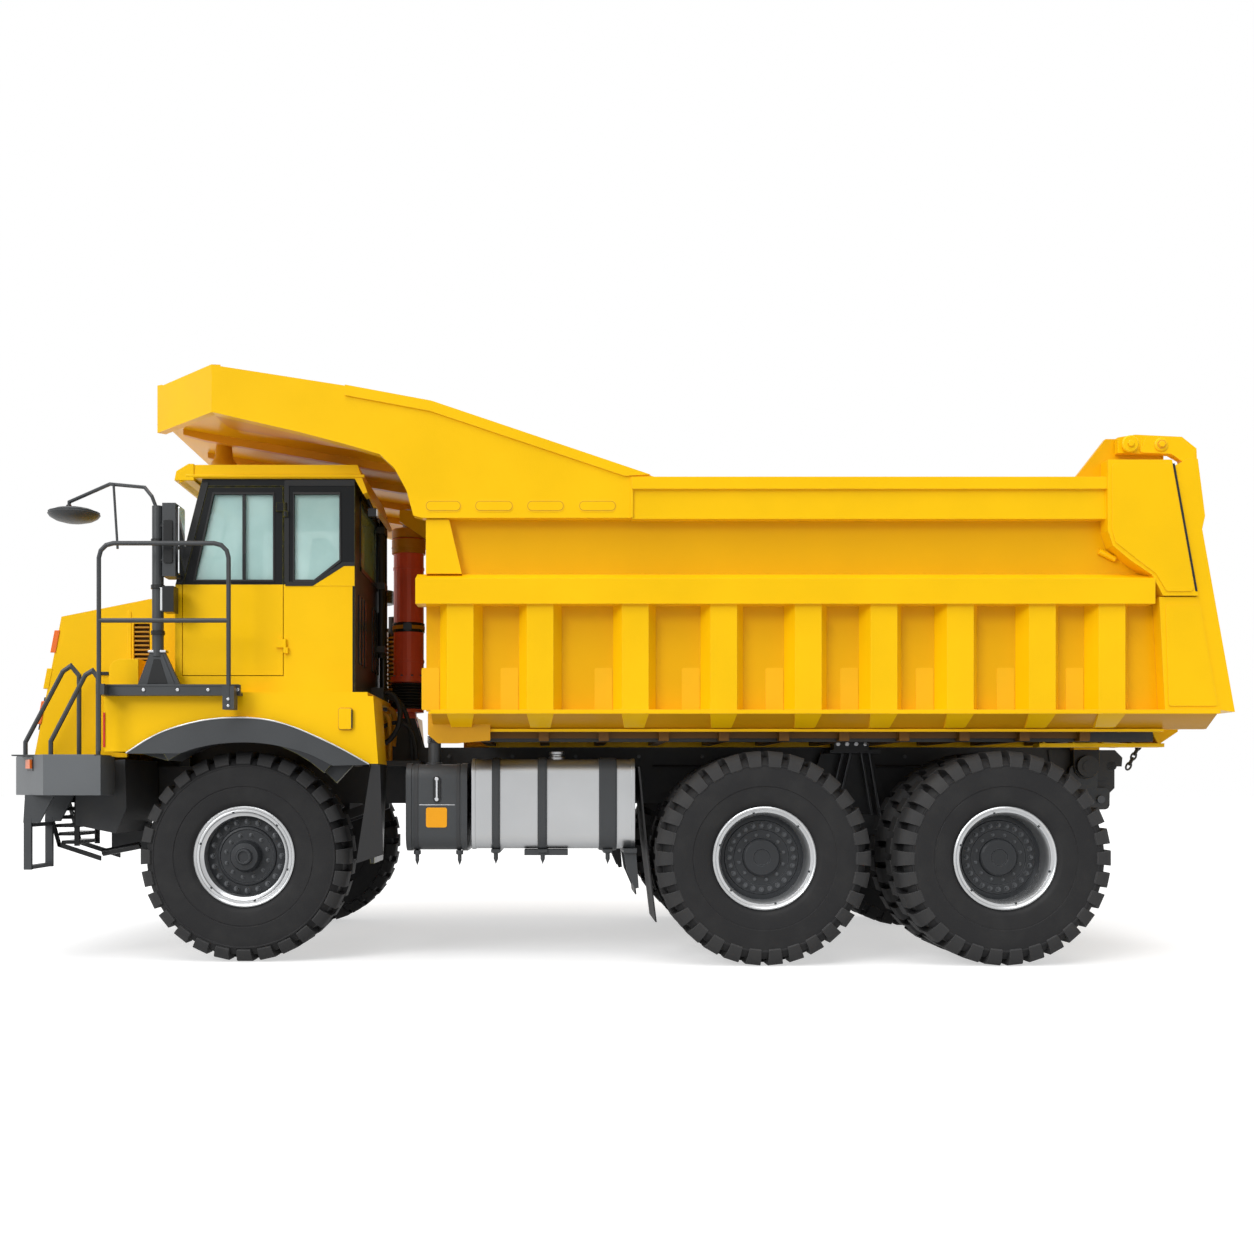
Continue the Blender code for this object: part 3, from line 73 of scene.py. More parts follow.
def colour_mix(tree, share, first, second):
    """Mix of two colours, each a triple or a socket."""
    node = tree.nodes.new("ShaderNodeMix")
    node.data_type = "RGBA"
    if hasattr(share, "is_linked"):
        link(tree, share, node.inputs[0])
    else:
        node.inputs[0].default_value = share
    for index, value in ((6, first), (7, second)):
        if hasattr(value, "is_linked"):
            link(tree, value, node.inputs[index])
        else:
            node.inputs[index].default_value = (*value, 1.0)
    return node.outputs[2]


def noise(tree, where, scale, detail=3.0, stretch=None):
    """Noise value from 0 to 1 at the object's own coordinates."""
    if stretch is not None:
        mapping = tree.nodes.new("ShaderNodeMapping")
        mapping.inputs["Scale"].default_value = stretch
        link(tree, where, mapping.inputs["Vector"])
        where = mapping.outputs["Vector"]
    node = tree.nodes.new("ShaderNodeTexNoise")
    node.inputs["Scale"].default_value = scale
    node.inputs["Detail"].default_value = detail
    link(tree, where, node.inputs["Vector"])
    return node.outputs["Fac"]


def ramp(tree, value, low, high, out_low=0.0, out_high=1.0):
    """Linear map of a value, clamped."""
    node = tree.nodes.new("ShaderNodeMapRange")
    link(tree, value, node.inputs["Value"])
    for key, number in (("From Min", low), ("From Max", high), ("To Min", out_low), ("To Max", out_high)):
        node.inputs[key].default_value = number
    return node.outputs["Result"]


def edge_mask(tree, radius):
    """1 on edges and 0 on flats, from the rounded normal against the true one."""
    bevel = tree.nodes.new("ShaderNodeBevel")
    bevel.samples = 4
    bevel.inputs["Radius"].default_value = radius
    geometry = tree.nodes.new("ShaderNodeNewGeometry")
    dot = tree.nodes.new("ShaderNodeVectorMath")
    dot.operation = "DOT_PRODUCT"
    link(tree, bevel.outputs["Normal"], dot.inputs[0])
    link(tree, geometry.outputs["Normal"], dot.inputs[1])
    return ramp(tree, dot.outputs["Value"], 0.995, 0.9)


def surface(name, colour, roughness, metallic=0.0, vary=0.1, wear=0.35, wear_colour=None, bump=0.012,
            grain=60.0, coat=0.0, stretch=None, zones=(), dirt=None, gloss=0.3):
    """Procedural finish: colour variation, worn edges, uneven roughness and a fine bump.

    zones are (test, colour) pairs; test(tree, x, y, z) gives a socket that is 1 where the second colour shows.
    """
    made, tree, shader = tree_of(name)
    where = tree.nodes.new("ShaderNodeTexCoord").outputs["Object"]
    broad = noise(tree, where, 1.6, 4.0)
    fine = noise(tree, where, grain, 3.0, stretch)
    deep = tuple(c * (1.0 - vary) for c in colour)
    light = tuple(min(c * (1.0 + 0.5 * vary), 1.0) for c in colour)
    shade = colour_mix(tree, ramp(tree, broad, 0.3, 0.7), deep, light)
    if zones:
        split = tree.nodes.new("ShaderNodeSeparateXYZ")
        link(tree, where, split.inputs[0])
        for test, other in zones:
            other_shade = colour_mix(tree, ramp(tree, broad, 0.3, 0.7), tuple(c * (1.0 - vary) for c in other), other)
            shade = colour_mix(tree, test(tree, *split.outputs), shade, other_shade)
    if dirt is not None:
        dusty = number_node(tree, "MULTIPLY", ramp(tree, noise(tree, where, 5.0, 6.0), 0.45, 0.75), dirt[1])
        shade = colour_mix(tree, dusty, shade, dirt[0])
    worn = number_node(tree, "MULTIPLY", edge_mask(tree, 0.006), ramp(tree, fine, 0.35, 0.65, 0.2 * wear, wear))
    edge_colour = wear_colour or tuple(min(c * 1.6 + 0.01, 1.0) for c in colour)
    shade = colour_mix(tree, worn, shade, edge_colour)
    link(tree, shade, shader.inputs["Base Color"])
    rough = ramp(tree, broad, 0.3, 0.7, roughness * 0.85, min(roughness * 1.15, 1.0))
    link(tree, rough, shader.inputs["Roughness"])
    shader.inputs["Metallic"].default_value = metallic
    shader.inputs["Specular IOR Level"].default_value = gloss
    shader.inputs["Coat Weight"].default_value = coat
    shader.inputs["Coat Roughness"].default_value = 0.15
    lift = tree.nodes.new("ShaderNodeBump")
    lift.inputs["Strength"].default_value = 0.35
    lift.inputs["Distance"].default_value = bump
    link(tree, fine, lift.inputs["Height"])
    link(tree, lift.outputs["Normal"], shader.inputs["Normal"])
    return made


def above(axis, level, low=False):
    """Zone test: past a level along one of the object's own axes; low turns it round."""
    def test(tree, *xyz):
        return number_node(tree, "LESS_THAN" if low else "GREATER_THAN", xyz["xyz".index(axis)], level)
    return test


def near(x, z, radius):
    """Zone test: within a distance of an axis that runs along Y."""
    def test(tree, *xyz):
        across = number_node(tree, "SUBTRACT", xyz[0], x)
        up = number_node(tree, "SUBTRACT", xyz[2], z)
        squares = number_node(tree, "ADD", number_node(tree, "MULTIPLY", across, across),
                              number_node(tree, "MULTIPLY", up, up))
        return number_node(tree, "LESS_THAN", squares, radius * radius)
    return test


def both(*tests):
    """Zone test: where all the tests hold."""
    def test(tree, *xyz):
        value = tests[0](tree, *xyz)
        for other in tests[1:]:
            value = number_node(tree, "MULTIPLY", value, other(tree, *xyz))
        return value
    return test


YELLOW = (0.94, 0.55, 0.002)
# Darker yellow: painted shade for the bed sides' recessed walls.
RECESS_PAINTED_SHADE = (0.8, 0.42, 0.002)
CHARCOAL = (0.05, 0.054, 0.058)
BLACK = (0.016, 0.017, 0.018)
WORN_YELLOW = (0.97, 0.66, 0.12)


def yellow_finish(name, wear=0.2, worn=None, zones=()):
    """The body paint; zones give other colours to parts of a node."""
    return surface(name, YELLOW, 0.34, coat=0.03, gloss=0.14, vary=0.06, wear=wear, wear_colour=worn, bump=0.0012,
                   grain=35.0, zones=zones)


yellow = yellow_finish("yellow_paint", 0.3, WORN_YELLOW)
# Darker orange-yellow for the canopy's underside and for recessed rings: painted shade.
painted_shade_orange = surface("orange_painted_shade", (0.8, 0.38, 0.008), 0.42, vary=0.14, wear=0.25, bump=0.002)
charcoal = surface("charcoal_paint", CHARCOAL, 0.42, vary=0.15, wear=0.3, bump=0.0015)
chassis_paint = surface("chassis_paint", (0.036, 0.038, 0.041), 0.5, vary=0.2, wear=0.35, bump=0.002,
                        dirt=((0.075, 0.07, 0.062), 0.25))
black = surface("black_gloss", BLACK, 0.25, vary=0.15, wear=0.25, bump=0.0008, wear_colour=(0.06, 0.062, 0.065))
bumper_paint = surface("bumper_paint", (0.12, 0.129, 0.137), 0.4, vary=0.1, wear=0.35, bump=0.0015)
rubber = surface("tyre_rubber", (0.015, 0.015, 0.016), 0.66, vary=0.22, wear=0.3, bump=0.003, grain=90.0,
                 wear_colour=(0.055, 0.055, 0.057), dirt=((0.036, 0.036, 0.035), 0.35), gloss=0.22)
lug_rubber = surface("tread_rubber", (0.034, 0.034, 0.035), 0.74, vary=0.2, wear=0.55, bump=0.003, grain=90.0,
                     wear_colour=(0.11, 0.11, 0.112), dirt=((0.052, 0.051, 0.049), 0.4), gloss=0.25)
soft_rubber = surface("soft_rubber", (0.02, 0.02, 0.021), 0.6, vary=0.2, wear=0.25, bump=0.002)
silver = surface("rim_silver", (0.5, 0.51, 0.52), 0.3, metallic=0.85, vary=0.1, wear=0.3, bump=0.001)
hub_grey = surface("hub_grey", (0.026, 0.028, 0.031), 0.42, metallic=0.15, vary=0.15, wear=0.45, bump=0.0015,
                   wear_colour=(0.2, 0.21, 0.22))
nut_grey = surface("nut_grey", (0.085, 0.089, 0.095), 0.35, metallic=0.5, vary=0.15, wear=0.5, bump=0.001)
bright_steel = surface("bright_steel", (0.56, 0.57, 0.59), 0.26, metallic=1.0, vary=0.08, wear=0.2, bump=0.0006)
aluminium = surface("brushed_aluminium", (0.44, 0.45, 0.46), 0.38, metallic=0.9, vary=0.08, wear=0.25, bump=0.0008,
                    grain=30.0, stretch=(1.0, 12.0, 12.0))
# Darker yellow for the panel under the hem, the low front gusset and the slot outlines: painted shade.
painted_shade_under_yellow = surface("yellow_under_painted_shade", (0.62, 0.3, 0.003), 0.42, vary=0.1, wear=0.2, bump=0.0015)
# Lighter than the bays' painted shade: painted light for the sunlit patch low in each bay.
painted_light_bay_yellow = surface("yellow_bay_painted_light", (0.86, 0.465, 0.002), 0.36, vary=0.05, wear=0.15, bump=0.0012)
# Dark brown for the beams under the bed and the backing behind the hood louvres: painted shadow.
painted_shadow_brown = surface("brown_painted_shadow", (0.13, 0.055, 0.004), 0.5, vary=0.2, wear=0.2, bump=0.002)
red_paint = surface("red_paint", (0.92, 0.13, 0.065), 0.34, coat=0.08, vary=0.16, wear=0.3, bump=0.0012,
                    wear_colour=(0.8, 0.2, 0.12))
orange_paint = surface("orange_paint", (0.6, 0.26, 0.008), 0.4, vary=0.12, wear=0.3, bump=0.0015)
plate_orange = surface("plate_orange", (0.9, 0.38, 0.006), 0.45, vary=0.06, wear=0.2, bump=0.0008)
trim_plastic = surface("trim_plastic", (0.05, 0.052, 0.056), 0.62, vary=0.12, wear=0.2, bump=0.002)
seat_cloth = surface("seat_cloth", (0.03, 0.032, 0.038), 0.85, vary=0.2, wear=0.15, bump=0.003, grain=220.0)
brown_slat = surface("brown_slat", (0.48, 0.24, 0.014), 0.5, vary=0.15, wear=0.25, bump=0.0015)
amber = surface("amber_lens", (0.85, 0.16, 0.008), 0.18, coat=0.5, vary=0.1, wear=0.2, bump=0.0008)
red_lens = surface("red_lens", (0.6, 0.012, 0.01), 0.18, coat=0.5, vary=0.1, wear=0.2, bump=0.0008)
lamp_glass = surface("lamp_glass", (0.75, 0.77, 0.78), 0.12, metallic=0.4, vary=0.08, wear=0.2, bump=0.001,
                     grain=120.0)
mirror_silver = surface("mirror_silver", (0.8, 0.82, 0.83), 0.06, metallic=1.0, vary=0.04, wear=0.1, bump=0.0002)


def glass_pane(name, pane_tint_and_sheen, pane_tint_and_sheen_deep):
    """Slightly green pane with a little dust; its pale, half-opaque colour is partly the glass's green tint and
    partly painted reflection.
    """
    made, tree, shader = tree_of(name)
    where = tree.nodes.new("ShaderNodeTexCoord").outputs["Object"]
    broad = noise(tree, where, 2.0, 4.0)
    fine = noise(tree, where, 70.0, 2.0)
    link(tree, colour_mix(tree, ramp(tree, broad, 0.3, 0.7), pane_tint_and_sheen_deep, pane_tint_and_sheen), shader.inputs["Base Color"])
    link(tree, ramp(tree, fine, 0.3, 0.7, 0.02, 0.06), shader.inputs["Roughness"])
    link(tree, ramp(tree, broad, 0.35, 0.75, 0.5, 0.6), shader.inputs["Alpha"])
    shader.inputs["IOR"].default_value = 1.5
    shader.inputs["Specular IOR Level"].default_value = 0.7
    lift = tree.nodes.new("ShaderNodeBump")
    lift.inputs["Strength"].default_value = 0.1
    lift.inputs["Distance"].default_value = 0.0005
    link(tree, broad, lift.inputs["Height"])
    link(tree, lift.outputs["Normal"], shader.inputs["Normal"])
    return made


# Pale green colour: the glass's tint plus painted reflection of the bright surroundings.
glass = glass_pane("cab_glass", (0.62, 0.9, 0.87), (0.5, 0.78, 0.75))

# ---------------------------------------------------------------- shapes: (points, faces)
def prism(outline, place, low, high):
    """Outline of flat points, given depth from low to high."""
    count = len(outline)
    points = [place(u, v, depth) for depth in (low, high) for u, v in outline]
    faces = [[(i + 1) % count, i, i + count, (i + 1) % count + count] for i in range(count)]
    faces.append(list(range(count)))
    faces.append([i + count for i in reversed(range(count))])
    return points, faces


def plate_y(outline_xz, low, high):
    return prism(outline_xz, lambda u, v, d: (u, d, v), low, high)


def plate_x(outline_yz, low, high):
    return prism(outline_yz, lambda u, v, d: (d, u, v), low, high)


def plate_z(outline_xy, low, high):
    return prism(outline_xy, lambda u, v, d: (u, v, d), low, high)


def box(x, y, z):
    return plate_z([(x[0], y[0]), (x[1], y[0]), (x[1], y[1]), (x[0], y[1])], z[0], z[1])


def turned(profile, centre, axis="Y", facets=64, closed=True, phase=0.0):
    """Profile of (radius, distance along axis) turned about an axis at centre."""
    spin = {"X": lambda r, a, d: (d, r * math.cos(a), r * math.sin(a)),
            "Y": lambda r, a, d: (r * math.cos(a), d, r * math.sin(a)),
            "Z": lambda r, a, d: (r * math.cos(a), r * math.sin(a), d)}[axis]
    rings = []
    points = []
    for radius, along in profile:
        if radius < 1e-6:
            rings.append([len(points)] * facets)
            points.append(Vector(spin(0.0, 0.0, along)) + Vector(centre))
            continue
        rings.append(list(range(len(points), len(points) + facets)))
        for step in range(facets):
            angle = 2 * math.pi * step / facets + phase
            points.append(Vector(spin(radius, angle, along)) + Vector(centre))
    pairs = list(zip(rings, rings[1:]))
    if closed and profile[0][0] > 1e-6 and profile[-1][0] > 1e-6:
        pairs.append((rings[-1], rings[0]))
    faces = []
    for here, there in pairs:
        for step in range(facets):
            after = (step + 1) % facets
            face = []
            for corner in (here[step], here[after], there[after], there[step]):
                if corner not in face:
                    face.append(corner)
            if len(face) > 2:
                faces.append(face)
    return points, faces


def disc(radius, low, high, centre, axis="Y", facets=64):
    """Plain round block from low to high along the axis."""
    return turned([(0.0, low), (radius, low), (radius, high), (0.0, high)], centre, axis, facets)


def pipe(path, radius, facets=12, end_radius=None):
    """Round tube along a path of points with flat ends."""
    path = [Vector(p) for p in path]
    legs = [(b - a).normalized() for a, b in zip(path, path[1:])]
    side = legs[0].orthogonal().normalized()
    points = []
    for index, centre in enumerate(path):
        before = legs[max(index - 1, 0)]
        after = legs[min(index, len(legs) - 1)]
        normal = (before + after).normalized()
        side = (side - before * side.dot(before)).normalized()
        up = before.cross(side)
        size = radius if index == 0 or end_radius is None else end_radius
        for step in range(facets):
            angle = 2 * math.pi * step / facets
            spoke = side * (size * math.cos(angle)) + up * (size * math.sin(angle))
            slide = -spoke.dot(normal) / before.dot(normal)
            points.append(centre + spoke + before * slide)
        side = (side - after * side.dot(after)).normalized()
    faces = []
    for ring in range(len(path) - 1):
        for step in range(facets):
            after = (step + 1) % facets
            base = ring * facets
            faces.append([base + step, base + after, base + facets + after, base + facets + step])
    faces.append(list(reversed(range(facets))))
    faces.append([(len(path) - 1) * facets + i for i in range(facets)])
    return points, faces


def rod(start, end, radius, facets=16, end_radius=None):
    return pipe([start, end], radius, facets, end_radius)


def curve(points, steps=6):
    """Smooth path through the points."""
    points = [Vector(p) for p in points]
    ends = [points[0] * 2 - points[1]] + points + [points[-1] * 2 - points[-2]]
    out = []
    for a, b, c, d in zip(ends, ends[1:], ends[2:], ends[3:]):
        for step in range(steps):
            t = step / steps
            out.append(0.5 * ((2 * b) + (c - a) * t + (2 * a - 5 * b + 4 * c - d) * t * t
                              + (3 * b - a - 3 * c + d) * t * t * t))
    return out + [points[-1]]


def rounded(corners, radius, steps=4):
    """Flat outline with its corners rounded; radius is one number or one per corner."""
    outline = []
    for index, corner in enumerate(corners):
        here = Vector(corner)
        back = (Vector(corners[index - 1]) - here).normalized()
        ahead = (Vector(corners[(index + 1) % len(corners)]) - here).normalized()
        size = radius[index] if isinstance(radius, (tuple, list)) else radius
        if size == 0:
            outline.append(tuple(here))
            continue
        half = back.angle(ahead) / 2
        centre = here + (back + ahead).normalized() * (size / math.sin(half))
        first = here + back * (size / math.tan(half)) - centre
        turn = first.angle_signed(here + ahead * (size / math.tan(half)) - centre)
        start = math.atan2(first.y, first.x)
        for step in range(steps + 1):
            angle = start - turn * step / steps
            outline.append((centre.x + size * math.cos(angle), centre.y + size * math.sin(angle)))
    return outline


def arc(centre, radius, start, end, steps):
    """Points on an arc, angles in degrees."""
    angles = [math.radians(start + (end - start) * i / steps) for i in range(steps + 1)]
    return [(centre[0] + radius * math.cos(a), centre[1] + radius * math.sin(a)) for a in angles]


def sided(shape, side):
    """The shape for side +1, or mirrored to the right for side -1."""
    if side > 0:
        return shape
    points, faces = shape
    return [(p[0], -p[1], p[2]) for p in points], [list(reversed(face)) for face in faces]


def hexagon(centre, axis, radius, depth, turn=0.0):
    """Six-sided nut or bolt head standing on a point along axis."""
    return turned([(0.0, 0.0), (radius * 0.92, 0.0), (radius, depth * 0.15), (radius, depth * 0.8),
                   (radius * 0.88, depth), (0.0, depth)], centre, axis, 6, phase=turn)


class Piece:
    """Gathers closed shapes, each with its own material, into one visible piece."""

    def __init__(self, side=1):
        self.side = side
        self.points, self.faces, self.marks, self.materials = [], [], [], []

    def add(self, shape, material):
        points, faces = sided(shape, self.side)
        if material not in self.materials:
            self.materials.append(material)
        base = len(self.points)
        self.points += [tuple(p) for p in points]
        self.faces += [[base + i for i in face] for face in faces]
        self.marks += [self.materials.index(material)] * len(faces)
        return self

    def make(self, name, body, bevel=0.0, replaces=(), sharp=35.0, segments=2):
        mesh = bpy.data.meshes.new(name)
        mesh.from_pydata(self.points, [], self.faces)
        for material in self.materials:
            mesh.materials.append(material)
        mesh.polygons.foreach_set("material_index", self.marks)
        shape = bmesh.new()
        shape.from_mesh(mesh)
        bmesh.ops.recalc_face_normals(shape, faces=shape.faces)
        shape.to_mesh(mesh)
        shape.free()
        mesh.shade_smooth()
        mesh.set_sharp_from_angle(angle=math.radians(sharp))
        made = bpy.data.objects.new(name, mesh)
        bpy.context.scene.collection.objects.link(made)
        if bevel:
            soften(made, bevel, segments)
        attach(made, body)
        if replaces:
            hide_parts(*replaces)
        return made


def soften(item, width, segments=2):
    """Small round on the sharp edges, as real sheet and castings have."""
    step = item.modifiers.new("edge_round", "BEVEL")
    step.width = width
    step.segments = segments
    step.limit_method = "ANGLE"
    step.angle_limit = math.radians(35)
    step.harden_normals = True


# ---------------------------------------------------------------- wheels
AXLE_Z = 0.745
TYRE_R = 0.744
TYRE_HALF = 0.215
RIM_R = 0.356
FRONT_AXLE_X = 2.56
FRONT_Y = 1.385
REAR_AXLES_X = {"rear_1": -1.085, "rear_2": -2.745}
TWIN_OUTER_Y = 1.615
TWIN_INNER_Y = 1.115


def swept_block(profile, centre, start, end, taper=1.0):
    """Block whose (radius, Y) outline is swept through an angle; taper narrows it towards the first points."""
    count = len(profile)
    middle = (start + end) / 2
    points = []
    for angle in (start, end):
        for index, (radius, along) in enumerate(profile):
            share = 1.0 + (taper - 1.0) * index / (count - 1)
            turn = middle + (angle - middle) * share
            points.append((centre[0] + radius * math.cos(turn), along, centre[2] + radius * math.sin(turn)))
    faces = [[i, (i + 1) % count, (i + 1) % count + count, i + count] for i in range(count)]
    faces += [list(range(count)), [i + count for i in reversed(range(count))]]
    return points, faces


def tyre(piece, x, y, lugs, chunky):
    """Tyre with deep shoulder lugs; y is the middle of its width."""
    half = TYRE_HALF
    base = TYRE_R - 0.046
    carcass = []
    wall = [(0.33, half - 0.03), (RIM_R + 0.004, half - 0.03), (0.372, half - 0.022), (0.384, half - 0.012),
            (0.4, half - 0.008), (0.44, half - 0.004), (0.488, half - 0.002), (0.49, half - 0.006),
            (0.496, half - 0.006), (0.498, half - 0.001), (0.54, half), (0.59, half - 0.001), (0.622, half - 0.004),
            (0.636, half - 0.006), (0.638, half - 0.001), (0.648, half - 0.002), (0.65, half - 0.01),
            (0.672, half - 0.024), (base, half - 0.055)]
    for r, offset in wall:
        carcass.append((r, y + offset))
    for share in (0.5, 0.0, -0.5):
        carcass.append((base + 0.004 * (1 - abs(share)), y + (half - 0.055) * share))
    for r, offset in reversed(wall):
        carcass.append((r, y - offset))
    centre = (x, 0.0, AXLE_Z)
    piece.add(turned(carcass, centre, "Y", 96), rubber)
    pitch = 2 * math.pi / lugs
    low = 0.622 if chunky else 0.65
    for way in (1, -1):
        for number in range(lugs):
            angle = (number + (0.5 if way < 0 else 0.0)) * pitch + random.uniform(-0.002, 0.002)
            wide = pitch * (0.37 if chunky else 0.345)
            profile = [(base - 0.02, y + way * 0.012), (TYRE_R, y + way * 0.012),
                       (TYRE_R, y + way * (half - 0.058)), (TYRE_R - 0.008, y + way * (half - 0.034)),
                       (0.7, y + way * (half - 0.006)), (low + 0.012, y + way * (half + 0.004)),
                       (low, y + way * (half - 0.012)), (0.672, y + way * (half - 0.05))]
            lug = swept_block(profile, centre, angle - wide, angle + wide, 0.78 if chunky else 0.92)
            piece.add(lug, lug_rubber)


def nut_ring(piece, centre_x, y, radius, count, size, depth, material, phase=0.0):
    for number in range(count):
        angle = 2 * math.pi * number / count + phase
        at = (centre_x + radius * math.cos(angle), y, AXLE_Z + radius * math.sin(angle))
        piece.add(disc(size * 1.25, 0.0, depth * 0.18, at, "Y", 12), material)
        piece.add(hexagon(at, "Y", size, depth, angle), material)
        piece.add(turned([(0.0, 0.0), (size * 0.5, 0.0), (size * 0.5, depth * 1.45), (0.0, depth * 1.5)],
                         at, "Y", 8), material)


def rim_ring(piece, x, y, well, inward):
    """Bright rim: flange, lock ring and dished well running inward from the outer flange."""
    outer = y + TYRE_HALF - 0.03
    ring = [(0.33, outer - 0.004), (RIM_R, outer), (RIM_R + 0.002, outer + 0.01), (RIM_R - 0.006, outer + 0.016),
            (0.34, outer + 0.012), (0.334, outer + 0.004), (0.326, outer + 0.006), (0.318, outer + 0.006),
            (0.312, outer - 0.004), (well, outer - 0.016), (well - 0.004, outer - 0.06), (well - 0.004, inward),
            (well + 0.01, inward), (0.325, outer - 0.07)]
    piece.add(turned(ring, (x, 0.0, AXLE_Z), "Y", 96), silver)
    for number in range(6):
        angle = 2 * math.pi * (number + 0.25) / 6
        piece.add(swept_block([(0.313, outer - 0.002), (0.313, outer + 0.008), (0.327, outer + 0.009),
                               (0.327, outer - 0.002)], (x, 0.0, AXLE_Z), angle, angle + 0.05), hub_grey)


def front_wheel(name, side):
    rim = Piece(side)
    x, y = FRONT_AXLE_X, FRONT_Y
    disc = 1.4
    outer = y + TYRE_HALF - 0.03
    rim_ring(rim, x, y, 0.288, disc)
    centre = (x, 0.0, AXLE_Z)
    rim.add(turned([(0.0, disc), (0.29, disc), (0.29, disc + 0.05), (0.284, disc + 0.064), (0.272, disc + 0.07),
                    (0.214, disc + 0.072), (0.206, disc + 0.086), (0.192, disc + 0.092), (0.186, disc + 0.084),
                    (0.12, disc + 0.088), (0.112, disc + 0.096), (0.106, disc + 0.15), (0.094, disc + 0.172),
                    (0.062, disc + 0.176), (0.058, disc + 0.19), (0.05, disc + 0.199), (0.04, disc + 0.199),
                    (0.036, disc + 0.186), (0.0, disc + 0.186)], centre, "Y", 64), hub_grey)
    rim.add(turned([(0.33, y - TYRE_HALF + 0.022), (RIM_R, y - TYRE_HALF + 0.03), (0.33, y - TYRE_HALF + 0.06),
                    (0.304, disc), (0.296, disc), (0.3, y - TYRE_HALF + 0.022)], centre, "Y", 64), hub_grey)
    nut_ring(rim, x, disc + 0.07, 0.247, 20, 0.0165, 0.028, nut_grey)
    nut_ring(rim, x, disc + 0.085, 0.152, 12, 0.012, 0.016, nut_grey, 0.2)
    rim.make(f"front_wheel_rim_{name}", f"wheel_front_{name}", 0.0015, (f"front_rim_{name}",))
    band = Piece(side)
    tyre(band, x, y, 28, False)
    band.make(f"front_wheel_tyre_{name}", f"wheel_front_{name}", 0.003, (f"front_tyre_{name}",), segments=1)


def twin_wheel(axle, name, side):
    x = REAR_AXLES_X[axle]
    number = axle[-1]
    body = f"wheel_rear_{number}_{name}"
    node = f"rear_{number}_twin_wheel_{name}"
    disc = 1.63
    centre = (x, 0.0, AXLE_Z)
    rim = Piece(side)
    rim_ring(rim, x, TWIN_OUTER_Y, 0.302, disc)
    rim.add(turned([(0.0, disc - 0.02), (0.304, disc - 0.02), (0.304, disc + 0.012), (0.29, disc + 0.02),
                    (0.262, disc + 0.02), (0.256, disc + 0.03), (0.196, disc + 0.03), (0.19, disc + 0.022),
                    (0.135, disc + 0.022), (0.13, disc + 0.048), (0.118, disc + 0.058), (0.06, disc + 0.06),
                    (0.054, disc + 0.052), (0.0, disc + 0.052)], centre, "Y", 64), hub_grey)
    nut_ring(rim, x, disc + 0.03, 0.226, 24, 0.0145, 0.024, nut_grey)
    nut_ring(rim, x, disc + 0.022, 0.16, 12, 0.01, 0.014, nut_grey, 0.3)
    rim.add(turned([(0.3, 0.93), (RIM_R, 0.93), (RIM_R, 0.944), (0.329, 0.96), (0.329, disc - 0.03),
                    (0.3, disc - 0.03)], centre, "Y", 64), hub_grey)
    rim.add(turned([(0.329, 1.29), (RIM_R, 1.302), (RIM_R, 1.428), (0.329, 1.44)], centre, "Y", 64), hub_grey)
    rim.make(f"twin_rim_{number}_{name}", body, 0.0015, (node,))
    band = Piece(side)
    tyre(band, x, TWIN_OUTER_Y, 30, True)
    tyre(band, x, TWIN_INNER_Y, 30, True)
    band.make(f"twin_tyres_{number}_{name}", body, 0.003, (node,), segments=1)


for side_name, side_sign in SIDES:
    front_wheel(side_name, side_sign)
    for axle_name in REAR_AXLES_X:
        twin_wheel(axle_name, side_name, side_sign)

# ---------------------------------------------------------------- bed
RIB_FRONTS = (1.097, 0.552, -0.097, -0.7, -1.277, -1.793, -2.314, -2.873, -3.348)
RIB_WIDTH = 0.18


def bed_rear_x(z):
    return -4.17 + 0.33 * (z - 1.765) / 1.702


def pill(x, z, radius):
    """Outline of a long hole between two X and two Z values."""
    return rounded([(x[0], z[0]), (x[1], z[0]), (x[1], z[1]), (x[0], z[1])], radius)


